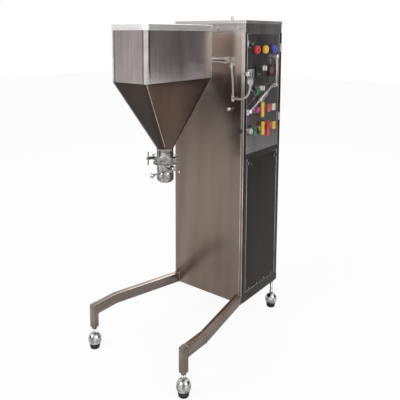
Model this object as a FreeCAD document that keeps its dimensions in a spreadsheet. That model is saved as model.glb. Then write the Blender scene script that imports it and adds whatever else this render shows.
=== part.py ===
import FreeCAD, Part
import math
import os
import re

import Sketcher

# Piston liquid filler: a sheet-steel cabinet with a control door on its right side, an open hopper with
# a lever valve held in front of it, splayed tube legs on bell feet, and an air-driven piston inside.
# Millimetres. Z is up, the front of the machine faces -Y, the control door faces +X, and the origin is
# on the floor at the middle of the footprint.

SIZES = {
    # Cabinet
    "cab_width": 360, "cab_depth": 306, "cab_front": 81.5, "cab_low": 130, "shell_top": 1251,
    "band_top": 1288, "cover_top": 1300, "sheet": 2, "corner_round": 12, "band_inset": 1.5,
    "cover_wall": 4,
    # Tube frame, legs and feet
    "tube": 25.4, "tube_wall": 2, "foot_x": 228, "foot_y": 361.5, "leg_bend_y": -246.5,
    "rear_foot_y": "=cab_front + cab_depth - 26",
    "leg_height": 40, "leg_end_z": 162, "post_low": 90, "post_plug": 6, "stud_radius": 6,
    "bell_radius": 26.5, "bell_top": 68, "pad_height": 22, "pad_radius": 21.5, "nut_height": 8,
    "nut_across": 19, "stud_grip": 40,
    # Hopper and its bracket
    "hopper_width": 168, "hopper_length": 380, "hopper_y": -189, "hopper_top": 1281,
    "hopper_fold": 1077, "hopper_low": 819, "hopper_round": 12, "hopper_sheet": 2, "lip_out": 3,
    "lip_height": 22, "neck_radius": 31.75, "neck_wall": 1.65, "ferrule_radius": 38.75,
    "ferrule_height": 6.4, "bar_z": 1143, "bar_radius": 10, "bar_end": 112, "bar_gap": 8,
    "arm_x": 28, "collar_radius": 14, "collar_length": 14,
    # Valve, clamp and outlet
    "joint_z": 777, "gasket": 2, "valve_z": 743, "valve_radius": 31.75, "valve_low": 727,
    "ball_radius": 14, "valve_bore": 10, "lever_x": 42, "lever_length": 122, "lever_radius": 4,
    "lever_knob": 9, "stem_radius": 6, "outlet_low": 688, "outlet_bore": 12, "clamp_radius": 43,
    "clamp_height": 26, "clamp_split": 1, "bolt_out": 7, "bolt_radius": 4, "bolt_reach": 48,
    "wing_span": 54, "wing_reach": 44,
    # Control door, lower panel and hinges
    "door_front": "=cab_front + 16", "door_back": "=cab_front + cab_depth - 31", "door_low": 765, "panel_low": 172, "panel_top": 746,
    "panel_front": "=cab_front + 26", "panel_back": "=cab_front + cab_depth - 34", "door_gap": 1.5, "door_flange": 15,
    "hinge_radius": 5, "hinge_pin": 3, "hinge_high": 34, "hinge_leaf": 14, "hinge_upper": 1189,
    "hinge_lower": 892,
    # Pilot devices on the door
    "bezel_radius": 13, "bezel_height": 5, "barrel_radius": 11, "barrel_depth": 40,
    "cap_radius": 9, "cap_reach": 10, "head_radius": 12, "head_reach": 17, "button_travel": 4,
    "lamp_radius": 19.5, "lamp_reach": 20,
    "meter_wide": 44, "meter_high": 51, "meter_reach": 8, "meter_depth": 42,
    "latch_radius": 9, "latch_reach": 9,
    # Guard bar on the door
    "guard_off": 13, "guard_radius": 6, "guard_top_z": 1152, "guard_knee_z": 1032,
    "guard_back_y": "=cab_front + 233", "guard_knee_y": "=cab_front + 206",
    "guard_front_y": "=cab_front + 24", "guard_front_z": 940, "guard_tail": 20,
    # Air regulator and air line
    "reg_x": "=cab_width / 2 + 32", "reg_y": "=cab_front - 9", "reg_z": 1084, "reg_side": 22, "reg_high": 38, "bowl_radius": 11,
    "reg_knob_radius": 9, "gauge_radius": 9, "hose_radius": 4, "fitting_radius": 7,
    "supply_z": 1112, "tee_z": 993, "drop_z": 948, "breather_x": 40, "breather_back": 120,
    # Piston drive
    "drive_x": -60, "drive_y": "=cab_front + cab_depth - 76", "rod_radius": 10, "air_bore": 31.5,
    "air_wall": 3, "cap_side": 75, "cap_thick": 30, "air_low": 700, "air_length": 172,
    "product_bore": 35, "product_wall": 5, "product_low": 440, "product_length": 180,
    "bracket_thick": 10, "bracket_wide": 110, "plate_thick": 6, "piston_thick": 20,
    # Clearances
    "run_fit": 0.05, "soft_gap": 0.3,
}

# Devices on the door: name, distance behind the cabinet's front, and height. A paddle has its head's
# width and its reach above and below the shank as well.
LAMPS = (("lamp_red", 76, 1184), ("lamp_yellow", 143, 1184), ("lamp_blue", 211, 1184))
ROUND_BUTTONS = (("button_start_green", 82, 1013), ("button_mode_violet", 84, 940), ("button_white", 32, 860))
PADDLES = (("button_amber_tall", 121, 940, 20, 30, 32), ("button_pink", 171, 940, 22, 16, 16),
           ("button_square_pale", 213, 940, 24, 14, 14), ("button_green", 61, 860, 20, 16, 24),
           ("button_yellow", 125, 860, 20, 28, 28), ("button_red", 166, 860, 20, 26, 38),
           ("button_square_yellow", 217, 860, 24, 16, 16))
PADDLE_SHANKS = tuple(paddle[:3] for paddle in PADDLES)
SELECTORS = (("switch_main", 30, 1204), ("switch_fill", 58, 1031), ("switch_cycle", 126, 1026),
             ("switch_speed", 142, 1108))
METERS = (("meter_counter", 100, 1097), ("meter_timer", 205, 1096))
LATCHES = (("latch_front", 48, 722), ("latch_rear", 256, 722))

TURNS = {"z": FreeCAD.Rotation(), "x": FreeCAD.Rotation(FreeCAD.Vector(0, 1, 0), 90),
         "y": FreeCAD.Rotation(FreeCAD.Vector(1, 0, 0), -90),
         "-y": FreeCAD.Rotation(FreeCAD.Vector(1, 0, 0), 90)}

doc = FreeCAD.newDocument("piston_liquid_filler")
sheet = doc.addObject("Spreadsheet::Sheet", "dims")
for row, (alias, number) in enumerate(SIZES.items(), 1):
    sheet.set(f"A{row}", alias)
    sheet.set(f"B{row}", str(number))
    sheet.setAlias(f"B{row}", alias)
doc.recompute()

nodes = []


# ---- Helpers -------------------------------------------------------------------------------------

def sized(text):
    """The expression, with each named size read from the sheet."""
    return re.sub(r"[a-z_]+", lambda m: "dims." + m.group() if m.group() in SIZES else m.group(), str(text))


def value(text):
    """The number that an expression in the named sizes gives."""
    return float(doc.getObject("dims").evalExpression(sized(text)))


def place(obj, at, along="z"):
    """Puts an object at a point given by three expressions, with its own Z along the named axis."""
    obj.Placement = FreeCAD.Placement(FreeCAD.Vector(*[value(a) for a in at]), TURNS[along])
    for axis, text in zip("xyz", at):
        obj.setExpression("Placement.Base." + axis, sized(text))
    return obj


def block(name, low, span):
    """A box from its low corner and its three spans."""
    obj = doc.addObject("Part::Box", name)
    for prop, text in zip(("Length", "Width", "Height"), span):
        obj.setExpression(prop, sized(text))
    return place(obj, low)


def bar(name, start, radius, length, along="z"):
    """A round bar that starts at a point and runs along an axis."""
    obj = doc.addObject("Part::Cylinder", name)
    obj.setExpression("Radius", sized(radius))
    obj.setExpression("Height", sized(length))
    return place(obj, start, along)


def ball(name, at, radius):
    """A sphere."""
    obj = doc.addObject("Part::Sphere", name)
    obj.setExpression("Radius", sized(radius))
    return place(obj, at)


def hexagon(name, start, across, length, along="z"):
    """A hexagonal bar, given by the distance across its flats."""
    obj = doc.addObject("Part::Prism", name)
    obj.Polygon = 6
    obj.setExpression("Circumradius", sized(f"{across} / sqrt(3)"))
    obj.setExpression("Height", sized(length))
    return place(obj, start, along)


def joined(name, pieces):
    """Several solids made one, as by a weld or a casting."""
    obj = doc.addObject("Part::MultiFuse", name)
    obj.Shapes = pieces
    obj.Refine = True
    return obj


def together(name, pieces):
    """Several separate solids of one kind, kept in one node."""
    obj = doc.addObject("Part::Compound", name)
    obj.Links = pieces
    return obj


def cut(name, base, tools):
    """A solid less one or more others."""
    obj = doc.addObject("Part::Cut", name)
    obj.Base = base
    obj.Tool = tools[0] if len(tools) == 1 else together(name + "_tools", tools)
    return obj


def rounded(name, base, radius, direction):
    """A box with its edges along one direction rounded."""
    doc.recompute()
    obj = doc.addObject("Part::Fillet", name)
    obj.Base = base
    along = [i for i, edge in enumerate(base.Shape.Edges, 1)
             if abs(edge.tangentAt(edge.FirstParameter).dot(FreeCAD.Vector(*direction))) > 0.99]
    obj.Edges = [(i, value(radius), value(radius)) for i in along]
    return obj


def turned(name, profile, at, along="z"):
    """A turned body: its outline is (radius, height) pairs, and its axis runs along the named axis."""
    body = doc.addObject("PartDesign::Body", name)
    sketch = body.newObject("Sketcher::SketchObject", name + "_outline")
    plane = [f for f in body.Origin.OriginFeatures if f.Role == "XZ_Plane"][0]
    sketch.AttachmentSupport = (plane, [""])
    sketch.MapMode = "FlatFace"
    corners = [FreeCAD.Vector(value(r), value(h), 0) for r, h in profile]
    for i, corner in enumerate(corners):
        sketch.addGeometry(Part.LineSegment(corner, corners[(i + 1) % len(corners)]))
    for i, (radius, height) in enumerate(profile):
        sketch.addConstraint(Sketcher.Constraint("Coincident", i - 1 if i else len(corners) - 1, 2, i, 1))
        for kind, text, number in (("DistanceX", radius, corners[i].x), ("DistanceY", height, corners[i].y)):
            index = sketch.addConstraint(Sketcher.Constraint(kind, -1, 1, i, 1, number))
            sketch.renameConstraint(index, f"{kind}_{i}")
            sketch.setExpression(f"Constraints.{kind}_{i}", sized(text))
    turn = body.newObject("PartDesign::Revolution", name + "_turn")
    turn.Profile = sketch
    turn.ReferenceAxis = (sketch, ["V_Axis"])
    turn.Angle = 360
    return place(body, at, along)


def shaped(name, shape):
    """A piece whose shape comes from Part's own functions."""
    obj = doc.addObject("Part::Feature", name)
    obj.Shape = shape
    obj.Placement = FreeCAD.Placement()
    return obj


def node(label, obj):
    """Names an object as one sub-part."""
    obj.Label = label
    nodes.append(obj)
    return obj


def swept(route, profile):
    """A profile carried along a route of straight runs with mitred corners."""
    return Part.Wire(Part.makePolygon(route)).makePipeShell([profile], True, False, 1)


def hose(route, radius):
    """A tube along straight runs joined by tangent arcs, each as large as its two runs allow."""
    edges, at, radii = [], route[0], []
    for before, corner, after in zip(route, route[1:], route[2:]):
        back = (before - corner).normalize()
        onward = (after - corner).normalize()
        half_turn = (math.pi - back.getAngle(onward)) / 2
        setback = 0.45 * min((before - corner).Length, (after - corner).Length)
        radii.append(setback / math.tan(half_turn))
        start, end = corner + back * setback, corner + onward * setback
        inward = (back + onward).normalize()
        middle = corner + inward * (radii[-1] / math.cos(half_turn) - radii[-1])
        edges += [Part.LineSegment(at, start).toShape(), Part.Arc(start, middle, end).toShape()]
        at = end
    edges.append(Part.LineSegment(at, route[-1]).toShape())
    path = Part.Wire(edges)
    section = Part.Wire(Part.Circle(route[0], route[1] - route[0], radius).toShape())
    tube = path.makePipeShell([section], True, True)
    expected = math.pi * radius ** 2 * path.Length
    print("hose radii", [round(r, 1) for r in radii], "volume ratio", round(tube.Volume / expected, 4))
    return tube


# ---- Tube frame, legs and feet -------------------------------------------------------------------

SIDE_TUBE = "(cab_width / 2 - sheet - tube / 2)"
CAB_BACK = "(cab_front + cab_depth)"
REAR_FOOT_X = SIDE_TUBE


def square_tube(name, low, span, along):
    """A square tube as a box with a square hole along X or Y."""
    outer = block(name + "_outside", low, span)
    inset = [0 if axis == along else "tube_wall" for axis in "xyz"]
    inner_low = [f"{a} + {i}" if i else a for a, i in zip(low, inset)]
    inner_span = [f"{s} - 2 * {i}" if i else s for s, i in zip(span, inset)]
    return cut(name, outer, [block(name + "_hole", inner_low, inner_span)])


def base_frame():
    """Four tubes round the cabinet's foot, drilled for the rear studs, and the four lock nuts."""
    left = "(-cab_width / 2 + sheet)"
    inside = "(cab_width - 2 * sheet - 2 * tube)"
    pieces = []
    for side, low_x in (("left", left), ("right", "cab_width / 2 - sheet - tube")):
        rail = square_tube(f"rail_{side}", (low_x, "cab_front + sheet", "cab_low"),
                           ("tube", "cab_depth - 2 * sheet", "tube"), "y")
        sign = "-" if side == "left" else ""
        hole = bar(f"rail_{side}_stud_hole", (f"{sign}{REAR_FOOT_X}", "rear_foot_y", "cab_low - 1"),
                   "stud_radius + run_fit", "tube_wall + 2")
        pieces.append(cut(f"rail_{side}_drilled", rail, [hole]))
    for end, low_y in (("front", "cab_front + sheet"), ("rear", f"{CAB_BACK} - sheet - tube")):
        pieces.append(square_tube(f"rail_{end}", (f"{left} + tube", low_y, "cab_low"),
                                  (inside, "tube", "tube"), "x"))
    for name, x, y, top in FEET:
        nut = hexagon(f"nut_{name}", (x, y, f"{top} - nut_height"), "nut_across", "nut_height")
        hole = bar(f"nut_{name}_hole", (x, y, f"{top} - nut_height"), "stud_radius + run_fit", "nut_height")
        pieces.append(cut(f"lock_nut_{name}", nut, [hole]))
    node("base_frame", together("base_frame_pieces", pieces))


def leg(side):
    """One splayed tube leg: a tall run out from the cabinet and forward, and a plugged square post."""
    sign = -1 if side == "left" else 1
    foot_x, foot_y = sign * value("foot_x"), -value("foot_y")
    start_x = sign * value(SIDE_TUBE)
    post_half, run_half, wall = value("tube / 2"), value("leg_height / 2"), value("tube_wall")
    end_z = value("leg_end_z")
    start = FreeCAD.Vector(start_x, value("cab_front"), value("cab_low - 1 + leg_height / 2"))
    bend = FreeCAD.Vector(foot_x, value("leg_bend_y"), end_z)
    low = FreeCAD.Vector(foot_x, foot_y, value("post_low"))
    behind = start - (bend - start).normalize() * value("tube")
    forms = []
    for inset, plug in ((0, 0), (wall, value("post_plug"))):
        across, tall = post_half - inset, run_half - inset
        post = Part.makeBox(2 * across, 2 * across, end_z + tall - low.z - plug,
                            low + FreeCAD.Vector(-across, -across, plug))
        front = FreeCAD.Vector(foot_x, foot_y - across, end_z)
        section = Part.makePolygon([front + FreeCAD.Vector(a * across, 0, b * tall)
                                    for a, b in ((-1, -1), (1, -1), (1, 1), (-1, 1), (-1, -1))])
        forms.append(post.fuse(swept([front, bend, behind], Part.Wire(section))).removeSplitter())
    outer, hollow = forms
    inside_cabinet = Part.makeBox(400, 200, 200, FreeCAD.Vector(start_x - 200, value("cab_front"), 50))
    stud_hole = Part.makeCylinder(value("stud_radius + run_fit"), value("post_plug") + 2,
                                  low - FreeCAD.Vector(0, 0, 1))
    node(f"leg_{side}", shaped(f"leg_{side}_tube", outer.cut(hollow).cut(inside_cabinet).cut(stud_hole)))


def foot(name, x, y, top):
    """A bell foot with its threaded stud, in one piece."""
    dome = [(f"bell_radius * {math.cos(math.radians(t)):.4f}",
             f"pad_height + 15 + (bell_top - pad_height - 17) * {math.sin(math.radians(t)):.4f}")
            for t in range(-24, 75, 12)]
    profile = (("0", "pad_height"), ("bell_radius * 0.84", "pad_height"),
               *dome, ("bell_radius * 0.36", "bell_top"), ("stud_radius", "bell_top"),
               ("stud_radius", f"{top} + stud_grip / 2"), ("0", f"{top} + stud_grip / 2"))
    node(f"foot_{name}", turned(f"foot_{name}_body", profile, (x, y, "0")))


FEET = (("front_left", "-foot_x", "-foot_y", "post_low"), ("front_right", "foot_x", "-foot_y", "post_low"),
        ("rear_left", f"-{REAR_FOOT_X}", "rear_foot_y", "cab_low"),
        ("rear_right", REAR_FOOT_X, "rear_foot_y", "cab_low"))


def frame_and_feet():
    base_frame()
    leg("left")
    leg("right")
    for name, x, y, top in FEET:
        foot(name, x, y, top)
    profile = (("0", "0"), ("pad_radius - 4", "0"), ("pad_radius", "pad_height - 6"),
               ("pad_radius", "pad_height"), ("0", "pad_height"))
    node("foot_pads", together("foot_pads_all", [turned(f"pad_{name}", profile, (x, y, "0"))
                                                 for name, x, y, _ in FEET]))


# ---- Cabinet -------------------------------------------------------------------------------------

def cabinet_shell():
    """The folded sheet wrapper: four walls, with the door and the lower panel's openings on the right."""
    height = "(shell_top - cab_low)"
    outside = rounded("shell_outside", block("shell_block", ("-cab_width / 2", "cab_front", "cab_low"),
                                             ("cab_width", "cab_depth", height)),
                      "corner_round", (0, 0, 1))
    inner = rounded("shell_inside", block("shell_space",
                                          ("-cab_width / 2 + sheet", "cab_front + sheet", "cab_low - 1"),
                                          ("cab_width - 2 * sheet", "cab_depth - 2 * sheet", f"{height} + 2")),
                    "corner_round - sheet", (0, 0, 1))
    door = block("door_opening", ("cab_width / 2 - 4 * sheet", "door_front - door_gap", "door_low - door_gap"),
                 ("8 * sheet", "door_back - door_front + 2 * door_gap", "shell_top - door_low + 10"))
    panel = block("panel_opening",
                  ("cab_width / 2 - 4 * sheet", "panel_front - door_gap", "panel_low - soft_gap"),
                  ("8 * sheet", "panel_back - panel_front + 2 * door_gap",
                   "panel_top - panel_low + soft_gap + door_gap"))
    frame_corners = [block(f"frame_corner_{i}", (x, y, "cab_low - 1"), ("corner_round", "corner_round", "tube + 2"))
                     for i, (x, y) in enumerate((("-cab_width / 2 + sheet", "cab_front + sheet"),
                                                 ("cab_width / 2 - sheet - corner_round", "cab_front + sheet"),
                                                 ("-cab_width / 2 + sheet", f"{CAB_BACK} - sheet - corner_round"),
                                                 ("cab_width / 2 - sheet - corner_round",
                                                  f"{CAB_BACK} - sheet - corner_round")))]
    node("cabinet_shell", cut("shell_walls", outside, [inner, door, panel] + frame_corners))


def header_band():
    """The dark band between the shell and the cover, set in a little."""
    def ring_block(name, inset, low, high):
        return rounded(name, block(name + "_block",
                                   (f"-cab_width / 2 + {inset}", f"cab_front + {inset}", low),
                                   (f"cab_width - 2 * ({inset})", f"cab_depth - 2 * ({inset})", high)),
                       f"corner_round - {inset}", (0, 0, 1))
    height = "(band_top - shell_top)"
    wall = "band_inset + 2 * sheet"
    node("header_band", cut("band_ring", ring_block("band_outside", "band_inset", "shell_top", height),
                            [ring_block("band_inside", wall, "shell_top - 1", f"{height} + 2")]))
    lid = ring_block("cover_outside", "0 * sheet", "band_top", "cover_top - band_top")
    space = ring_block("cover_inside", "cover_wall", "band_top - 1", "cover_top - band_top + 1 - sheet")
    node("top_cover", cut("cover_pan", lid, [space]))


def pan(name, front, back, low, high, holes):
    """A sheet pan in the right wall: a face with a flange turned inward all round, and its holes."""
    face = "cab_width / 2"
    outer = block(name + "_face", (f"{face} - door_flange", front, low),
                  ("door_flange", f"{back} - {front}", f"{high} - {low}"))
    space = block(name + "_space", (f"{face} - door_flange - 1", f"{front} + sheet", f"{low} + sheet"),
                  ("door_flange + 1 - sheet", f"{back} - {front} - 2 * sheet", f"{high} - {low} - 2 * sheet"))
    return cut(name + "_pan", outer, [space] + holes)


def on_door(y, z, reach="0"):
    """A point on the door's face, given from the cabinet's front and the floor."""
    return (f"cab_width / 2 + {reach}", f"cab_front + {y}", str(z))


def control_door():
    """The door that carries the controls."""
    holes = [bar(f"hole_{name}", on_door(y, z, "(-2 * sheet)"), "barrel_radius + run_fit", "3 * sheet", "x")
             for name, y, z in LAMPS + ROUND_BUTTONS + PADDLE_SHANKS + SELECTORS]
    holes += [block(f"hole_{name}", ("cab_width / 2 - 2 * sheet", f"cab_front + {y} - meter_wide / 2 + sheet",
                                     f"{z} - meter_high / 2 + sheet"),
                    ("3 * sheet", "meter_wide - 2 * sheet", "meter_high - 2 * sheet"))
              for name, y, z in METERS]
    node("control_door", pan("control_door", "door_front", "door_back", "door_low", "shell_top - door_gap", holes))


def lower_panel():
    """The lower access panel, which tilts out about its bottom edge, and its two quarter-turn knobs."""
    holes = [bar(f"hole_{name}", on_door(y, z, "(-2 * sheet)"), "stud_radius + run_fit", "3 * sheet", "x")
             for name, y, z in LATCHES]
    node("lower_panel", pan("lower_panel", "panel_front", "panel_back", "panel_low", "panel_top", holes))
    for name, y, z in LATCHES:
        knob = turned(name + "_knob", (("0", "-8"), ("stud_radius", "-8"), ("stud_radius", "0"),
                                       ("latch_radius", "0"), ("latch_radius", "latch_reach - 2"),
                                       ("latch_radius - 2", "latch_reach"), ("0", "latch_reach")),
                      on_door(y, z), "x")
        tongue = block(name + "_tongue", ("cab_width / 2 - 10", f"cab_front + {y} - 18", f"{z} - 5"),
                       ("3", "24", "10"))
        node(name, joined(name + "_whole", [knob, tongue]))


HINGE_X, HINGE_Y = "(cab_width / 2 + hinge_radius)", "(door_back + door_gap / 2)"


def hinge_leaf(name, z, side, low, high):
    """One leaf of a door hinge: a flat plate, and a knuckle over part of its height."""
    near = "hinge_radius + soft_gap"
    if side == "door":
        plate_y, bridge_y = f"{HINGE_Y} - hinge_leaf", f"{HINGE_Y} - {near}"
    else:
        plate_y, bridge_y = f"{HINGE_Y} + {near}", HINGE_Y
    plate = block(name + "_plate", ("cab_width / 2", plate_y, f"{z} - hinge_high / 2"),
                  ("sheet", f"hinge_leaf - {near}", "hinge_high"))
    bridge = block(name + "_bridge", ("cab_width / 2", bridge_y, f"{z} + {low}"),
                   ("sheet", near, f"{high} - {low}"))
    knuckle = bar(name + "_knuckle", (HINGE_X, HINGE_Y, f"{z} + {low}"), "hinge_radius", f"{high} - {low}")
    return joined(name + "_leaf", [plate, bridge, knuckle])


def door_hinges():
    """Two lift-off hinges: the wall's leaf has the pin, and the door's leaf turns on it."""
    wall, door = [], []
    for name, z in (("hinge_high_up", "hinge_upper"), ("hinge_low_down", "hinge_lower")):
        fixed = hinge_leaf(name + "_wall", z, "wall", "(-hinge_high / 2)", "(-soft_gap / 2)")
        pin = bar(name + "_pin", (HINGE_X, HINGE_Y, f"{z} - hinge_high / 2"), "hinge_pin", "hinge_high - 2")
        wall.append(joined(name + "_fixed", [fixed, pin]))
        moving = hinge_leaf(name + "_door", z, "door", "(soft_gap / 2)", "(hinge_high / 2)")
        bore = bar(name + "_bore", (HINGE_X, HINGE_Y, f"{z} - 1"), "hinge_pin + run_fit", "hinge_high / 2")
        door.append(cut(name + "_turning", moving, [bore]))
    node("hinge_wall_leaves", together("hinge_walls", wall))
    node("hinge_door_leaves", together("hinge_doors", door))


# ---- Controls on the door ------------------------------------------------------------------------

BORE = "cap_radius + run_fit"
CAP_BASE = "(button_travel + 7)"


def device_bodies():
    """Every pilot device's bezel and barrel, held in the door's holes."""
    bodies = []
    for name, y, z in ROUND_BUTTONS + PADDLE_SHANKS + SELECTORS:
        profile = (("0", "-barrel_depth"), ("barrel_radius", "-barrel_depth"), ("barrel_radius", "0"),
                   ("bezel_radius", "0"), ("bezel_radius", "bezel_height - 1"),
                   ("bezel_radius - 1", "bezel_height"), (BORE, "bezel_height"),
                   (BORE, "-button_travel - 12"), ("0", "-button_travel - 12"))
        bodies.append(turned(f"body_{name}", profile, on_door(y, z), "x"))
    for name, y, z in LAMPS:
        profile = (("0", "-barrel_depth"), ("barrel_radius", "-barrel_depth"), ("barrel_radius", "0"),
                   ("lamp_radius", "0"), ("lamp_radius", "4"), ("lamp_radius - 1", "5"), ("0", "5"))
        bodies.append(turned(f"body_{name}", profile, on_door(y, z), "x"))
    node("device_bodies", together("device_bodies_all", bodies))


def lamps():
    """Three pilot-lamp lenses."""
    for name, y, z in LAMPS:
        profile = (("0", "5"), ("lamp_radius - 2.5", "5"), ("lamp_radius - 2.5", "lamp_reach - 5"),
                   ("lamp_radius - 6", "lamp_reach - 1"), ("0", "lamp_reach"))
        node(name, turned(name + "_lens", profile, on_door(y, z), "x"))


def round_cap(name, y, z, reach):
    """A push button's round cap, with the shank that slides in its body."""
    profile = (("0", f"-{CAP_BASE}"), ("cap_radius", f"-{CAP_BASE}"), ("cap_radius", f"{reach} - 1"),
               ("cap_radius - 1", reach), ("0", reach))
    return turned(name + "_cap", profile, on_door(y, z), "x")


HEAD_BACK = "(bezel_height + button_travel + soft_gap)"


def buttons():
    """The push buttons' caps: a round shank with a round head, or with a rectangular paddle."""
    for name, y, z in ROUND_BUTTONS:
        profile = (("0", f"-{CAP_BASE}"), ("cap_radius", f"-{CAP_BASE}"), ("cap_radius", HEAD_BACK),
                   ("head_radius", HEAD_BACK), ("head_radius", "head_reach - 1"), ("head_radius - 1", "head_reach"),
                   ("0", "head_reach"))
        node(name, turned(name + "_cap", profile, on_door(y, z), "x"))
    for name, y, z, wide, up, down in PADDLES:
        head = block(name + "_head", (f"cab_width / 2 + {HEAD_BACK}", f"cab_front + {y} - {wide} / 2", f"{z} - {down}"),
                     (f"head_reach - {HEAD_BACK}", str(wide), f"{up} + {down}"))
        node(name, joined(name + "_whole", [round_cap(name, y, z, "cap_reach"), head]))


def selectors():
    """The turning switches: a round shank with a finger grip across it."""
    for name, y, z in SELECTORS:
        grip = block(name + "_grip", ("cab_width / 2 + cap_reach - 4", f"cab_front + {y} - 3",
                                      f"{z} - cap_radius - 1"), ("12", "6", "2 * cap_radius + 2"))
        node(name, joined(name + "_whole", [round_cap(name, y, z, "cap_reach - 3"), grip]))


def meters():
    """Two square panel instruments, each a bezel outside the door and a case behind it."""
    for name, y, z in METERS:
        bezel = block(name + "_bezel", on_corner(y, z, "0"), ("meter_reach", "meter_wide", "meter_high"))
        case = block(name + "_case", ("cab_width / 2 - meter_depth", f"cab_front + {y} - meter_wide / 2 + 2.5",
                                      f"{z} - meter_high / 2 + 2.5"),
                     ("meter_depth", "meter_wide - 5", "meter_high - 5"))
        node(name, joined(name + "_whole", [bezel, case]))


def on_corner(y, z, reach):
    """The low corner of an instrument's bezel on the door's face."""
    return (f"cab_width / 2 + {reach}", f"cab_front + {y} - meter_wide / 2", f"{z} - meter_high / 2")


def guard_bar():
    """The hand bar on the door: an upright, and a sloping bar with a sleeve, each on its own stud."""
    x = value("cab_width / 2 + guard_off")
    face = value("cab_width / 2")
    top = FreeCAD.Vector(x, value("guard_back_y"), value("guard_top_z"))
    knee = FreeCAD.Vector(x, value("guard_back_y"), value("guard_knee_z"))
    turn = FreeCAD.Vector(x, value("guard_knee_y"), value("guard_knee_z"))
    front = FreeCAD.Vector(x, value("guard_front_y"), value("guard_front_z"))
    radius = value("guard_radius")
    along_x = FreeCAD.Vector(1, 0, 0)

    def round_run(start, end, thick):
        return Part.makeCylinder(thick, (end - start).Length, start, end - start)

    def stud(at):
        base = FreeCAD.Vector(face, at.y, at.z)
        return Part.makeCylinder(radius * 1.6, 3, base, along_x).fuse(
            Part.makeCylinder(radius * 0.8, x - face, base, along_x))

    upright = round_run(top, knee, radius).fuse([Part.makeSphere(radius * 1.7, top), stud(top),
                                                 Part.makeSphere(radius * 1.3, knee),
                                                 round_run(knee, turn, radius)])
    ferrule = 2 * radius
    slope = (front - turn).normalize()
    hub = round_run(turn - FreeCAD.Vector(0, ferrule / 2, 0), turn + FreeCAD.Vector(0, ferrule / 2, 0),
                    radius * 1.5)
    node("guard_upright", shaped("guard_upright_bar", upright.cut(hub).removeSplitter()))
    length = (front - turn).Length
    sleeve = Part.makeCylinder(radius * 1.5, length * 0.3, turn + slope * length * 0.3, slope)
    fork = Part.makeSphere(radius * 1.6, front)
    tail = front + slope * value("guard_tail")
    sloping = hub.fuse([round_run(turn, tail, radius * 0.8), sleeve, fork, stud(front)])
    node("guard_sloping_bar", shaped("guard_sloping", sloping.removeSplitter()))


# ---- Hopper --------------------------------------------------------------------------------------

def rounded_outline(width, length, radius, z):
    """A rectangle with rounded corners at height z, centred on the hopper's axis."""
    centre = FreeCAD.Vector(0, value("hopper_y"), z)
    edges = []
    a, b = width / 2 - radius, length / 2 - radius
    for sx, sy, angle in ((1, 1, 0), (-1, 1, 90), (-1, -1, 180), (1, -1, 270)):
        hub = centre + FreeCAD.Vector(sx * a, sy * b, 0)
        points = [hub + FreeCAD.Vector(math.cos(math.radians(angle + t)), math.sin(math.radians(angle + t)), 0)
                  * radius for t in (0, 45, 90)]
        if edges:
            edges.append(Part.LineSegment(edges[-1].Vertexes[-1].Point, points[0]).toShape())
        edges.append(Part.Arc(*points).toShape())
    edges.append(Part.LineSegment(edges[-1].Vertexes[-1].Point, edges[0].Vertexes[0].Point).toShape())
    return Part.Wire(edges)


def hopper_solid(inset, low, top):
    """The hopper's outer or inner form: straight above the fold, tapering to the neck below it."""
    width, length = value("hopper_width") - 2 * inset, value("hopper_length") - 2 * inset
    corner = value("hopper_round") - inset
    neck = 2 * (value("neck_radius") - inset)
    fold = value("hopper_fold")
    upper = Part.makeLoft([rounded_outline(width, length, corner, fold),
                           rounded_outline(width, length, corner, top)], True, True)
    lower = Part.makeLoft([rounded_outline(neck, neck, neck / 2 - 0.5, low),
                           rounded_outline(width, length, corner, fold)], True, True)
    return upper.fuse(lower).removeSplitter()


def hopper():
    """The open bin with its folded lip, and the neck with its clamp ferrule."""
    wall = value("hopper_sheet")
    low, top = value("hopper_low"), value("hopper_top")
    bin_wall = hopper_solid(0, low, top).cut(hopper_solid(wall, low - 0.001, top + 1))
    outline = [value("hopper_width"), value("hopper_length"), value("hopper_round")]
    out = value("lip_out")

    def slab(grow, z_low, z_high):
        face = Part.Face(rounded_outline(outline[0] + 2 * grow, outline[1] + 2 * grow, outline[2] + grow, z_low))
        return face.extrude(FreeCAD.Vector(0, 0, z_high - z_low))

    lip_low = top - value("lip_height")
    lip = slab(out, lip_low, top).cut(slab(0, lip_low - 1, top + 1))
    node("hopper_bin", shaped("hopper_bin_sheet", bin_wall.fuse(lip).removeSplitter()))
    bore = "neck_radius - neck_wall"
    ferrule = "joint_z + gasket / 2"
    node("hopper_neck", turned("hopper_neck_tube", (
        (bore, "hopper_low"), ("neck_radius", "hopper_low"), ("neck_radius", f"{ferrule} + ferrule_height"),
        ("ferrule_radius", f"{ferrule} + ferrule_height / 2"), ("ferrule_radius", ferrule), (bore, ferrule)),
        ("0", "hopper_y", "0")))


def hopper_bracket():
    """The cross bar on the cabinet's front, with two arms out to the hopper's back wall."""
    bar_y = "(cab_front - bar_gap - bar_radius)"
    hopper_back = "(hopper_y + hopper_length / 2)"
    pieces = [bar("cross_bar", ("-bar_end", bar_y, "bar_z"), "bar_radius", "2 * bar_end", "x")]
    for side in ("-", ""):
        name = "left" if side else "right"
        end = "-bar_end" if side else "bar_end - collar_length"
        pieces.append(bar(f"bar_collar_{name}", (end, bar_y, "bar_z"), "collar_radius", "collar_length", "x"))
        pieces.append(bar(f"arm_{name}", (f"{side}arm_x", hopper_back, "bar_z"), "bar_radius - 2",
                          f"{bar_y} - {hopper_back}", "y"))
        pieces.append(bar(f"arm_pad_{name}", (f"{side}arm_x", hopper_back, "bar_z"), "collar_radius + 6", "4", "y"))
        pieces.append(bar(f"wall_stud_{name}", (f"{side}(bar_end - collar_length / 2)", bar_y, "bar_z"),
                          "bar_radius - 4", f"cab_front - {bar_y}", "y"))
    node("hopper_bracket", joined("hopper_bracket_weld", pieces))


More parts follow.
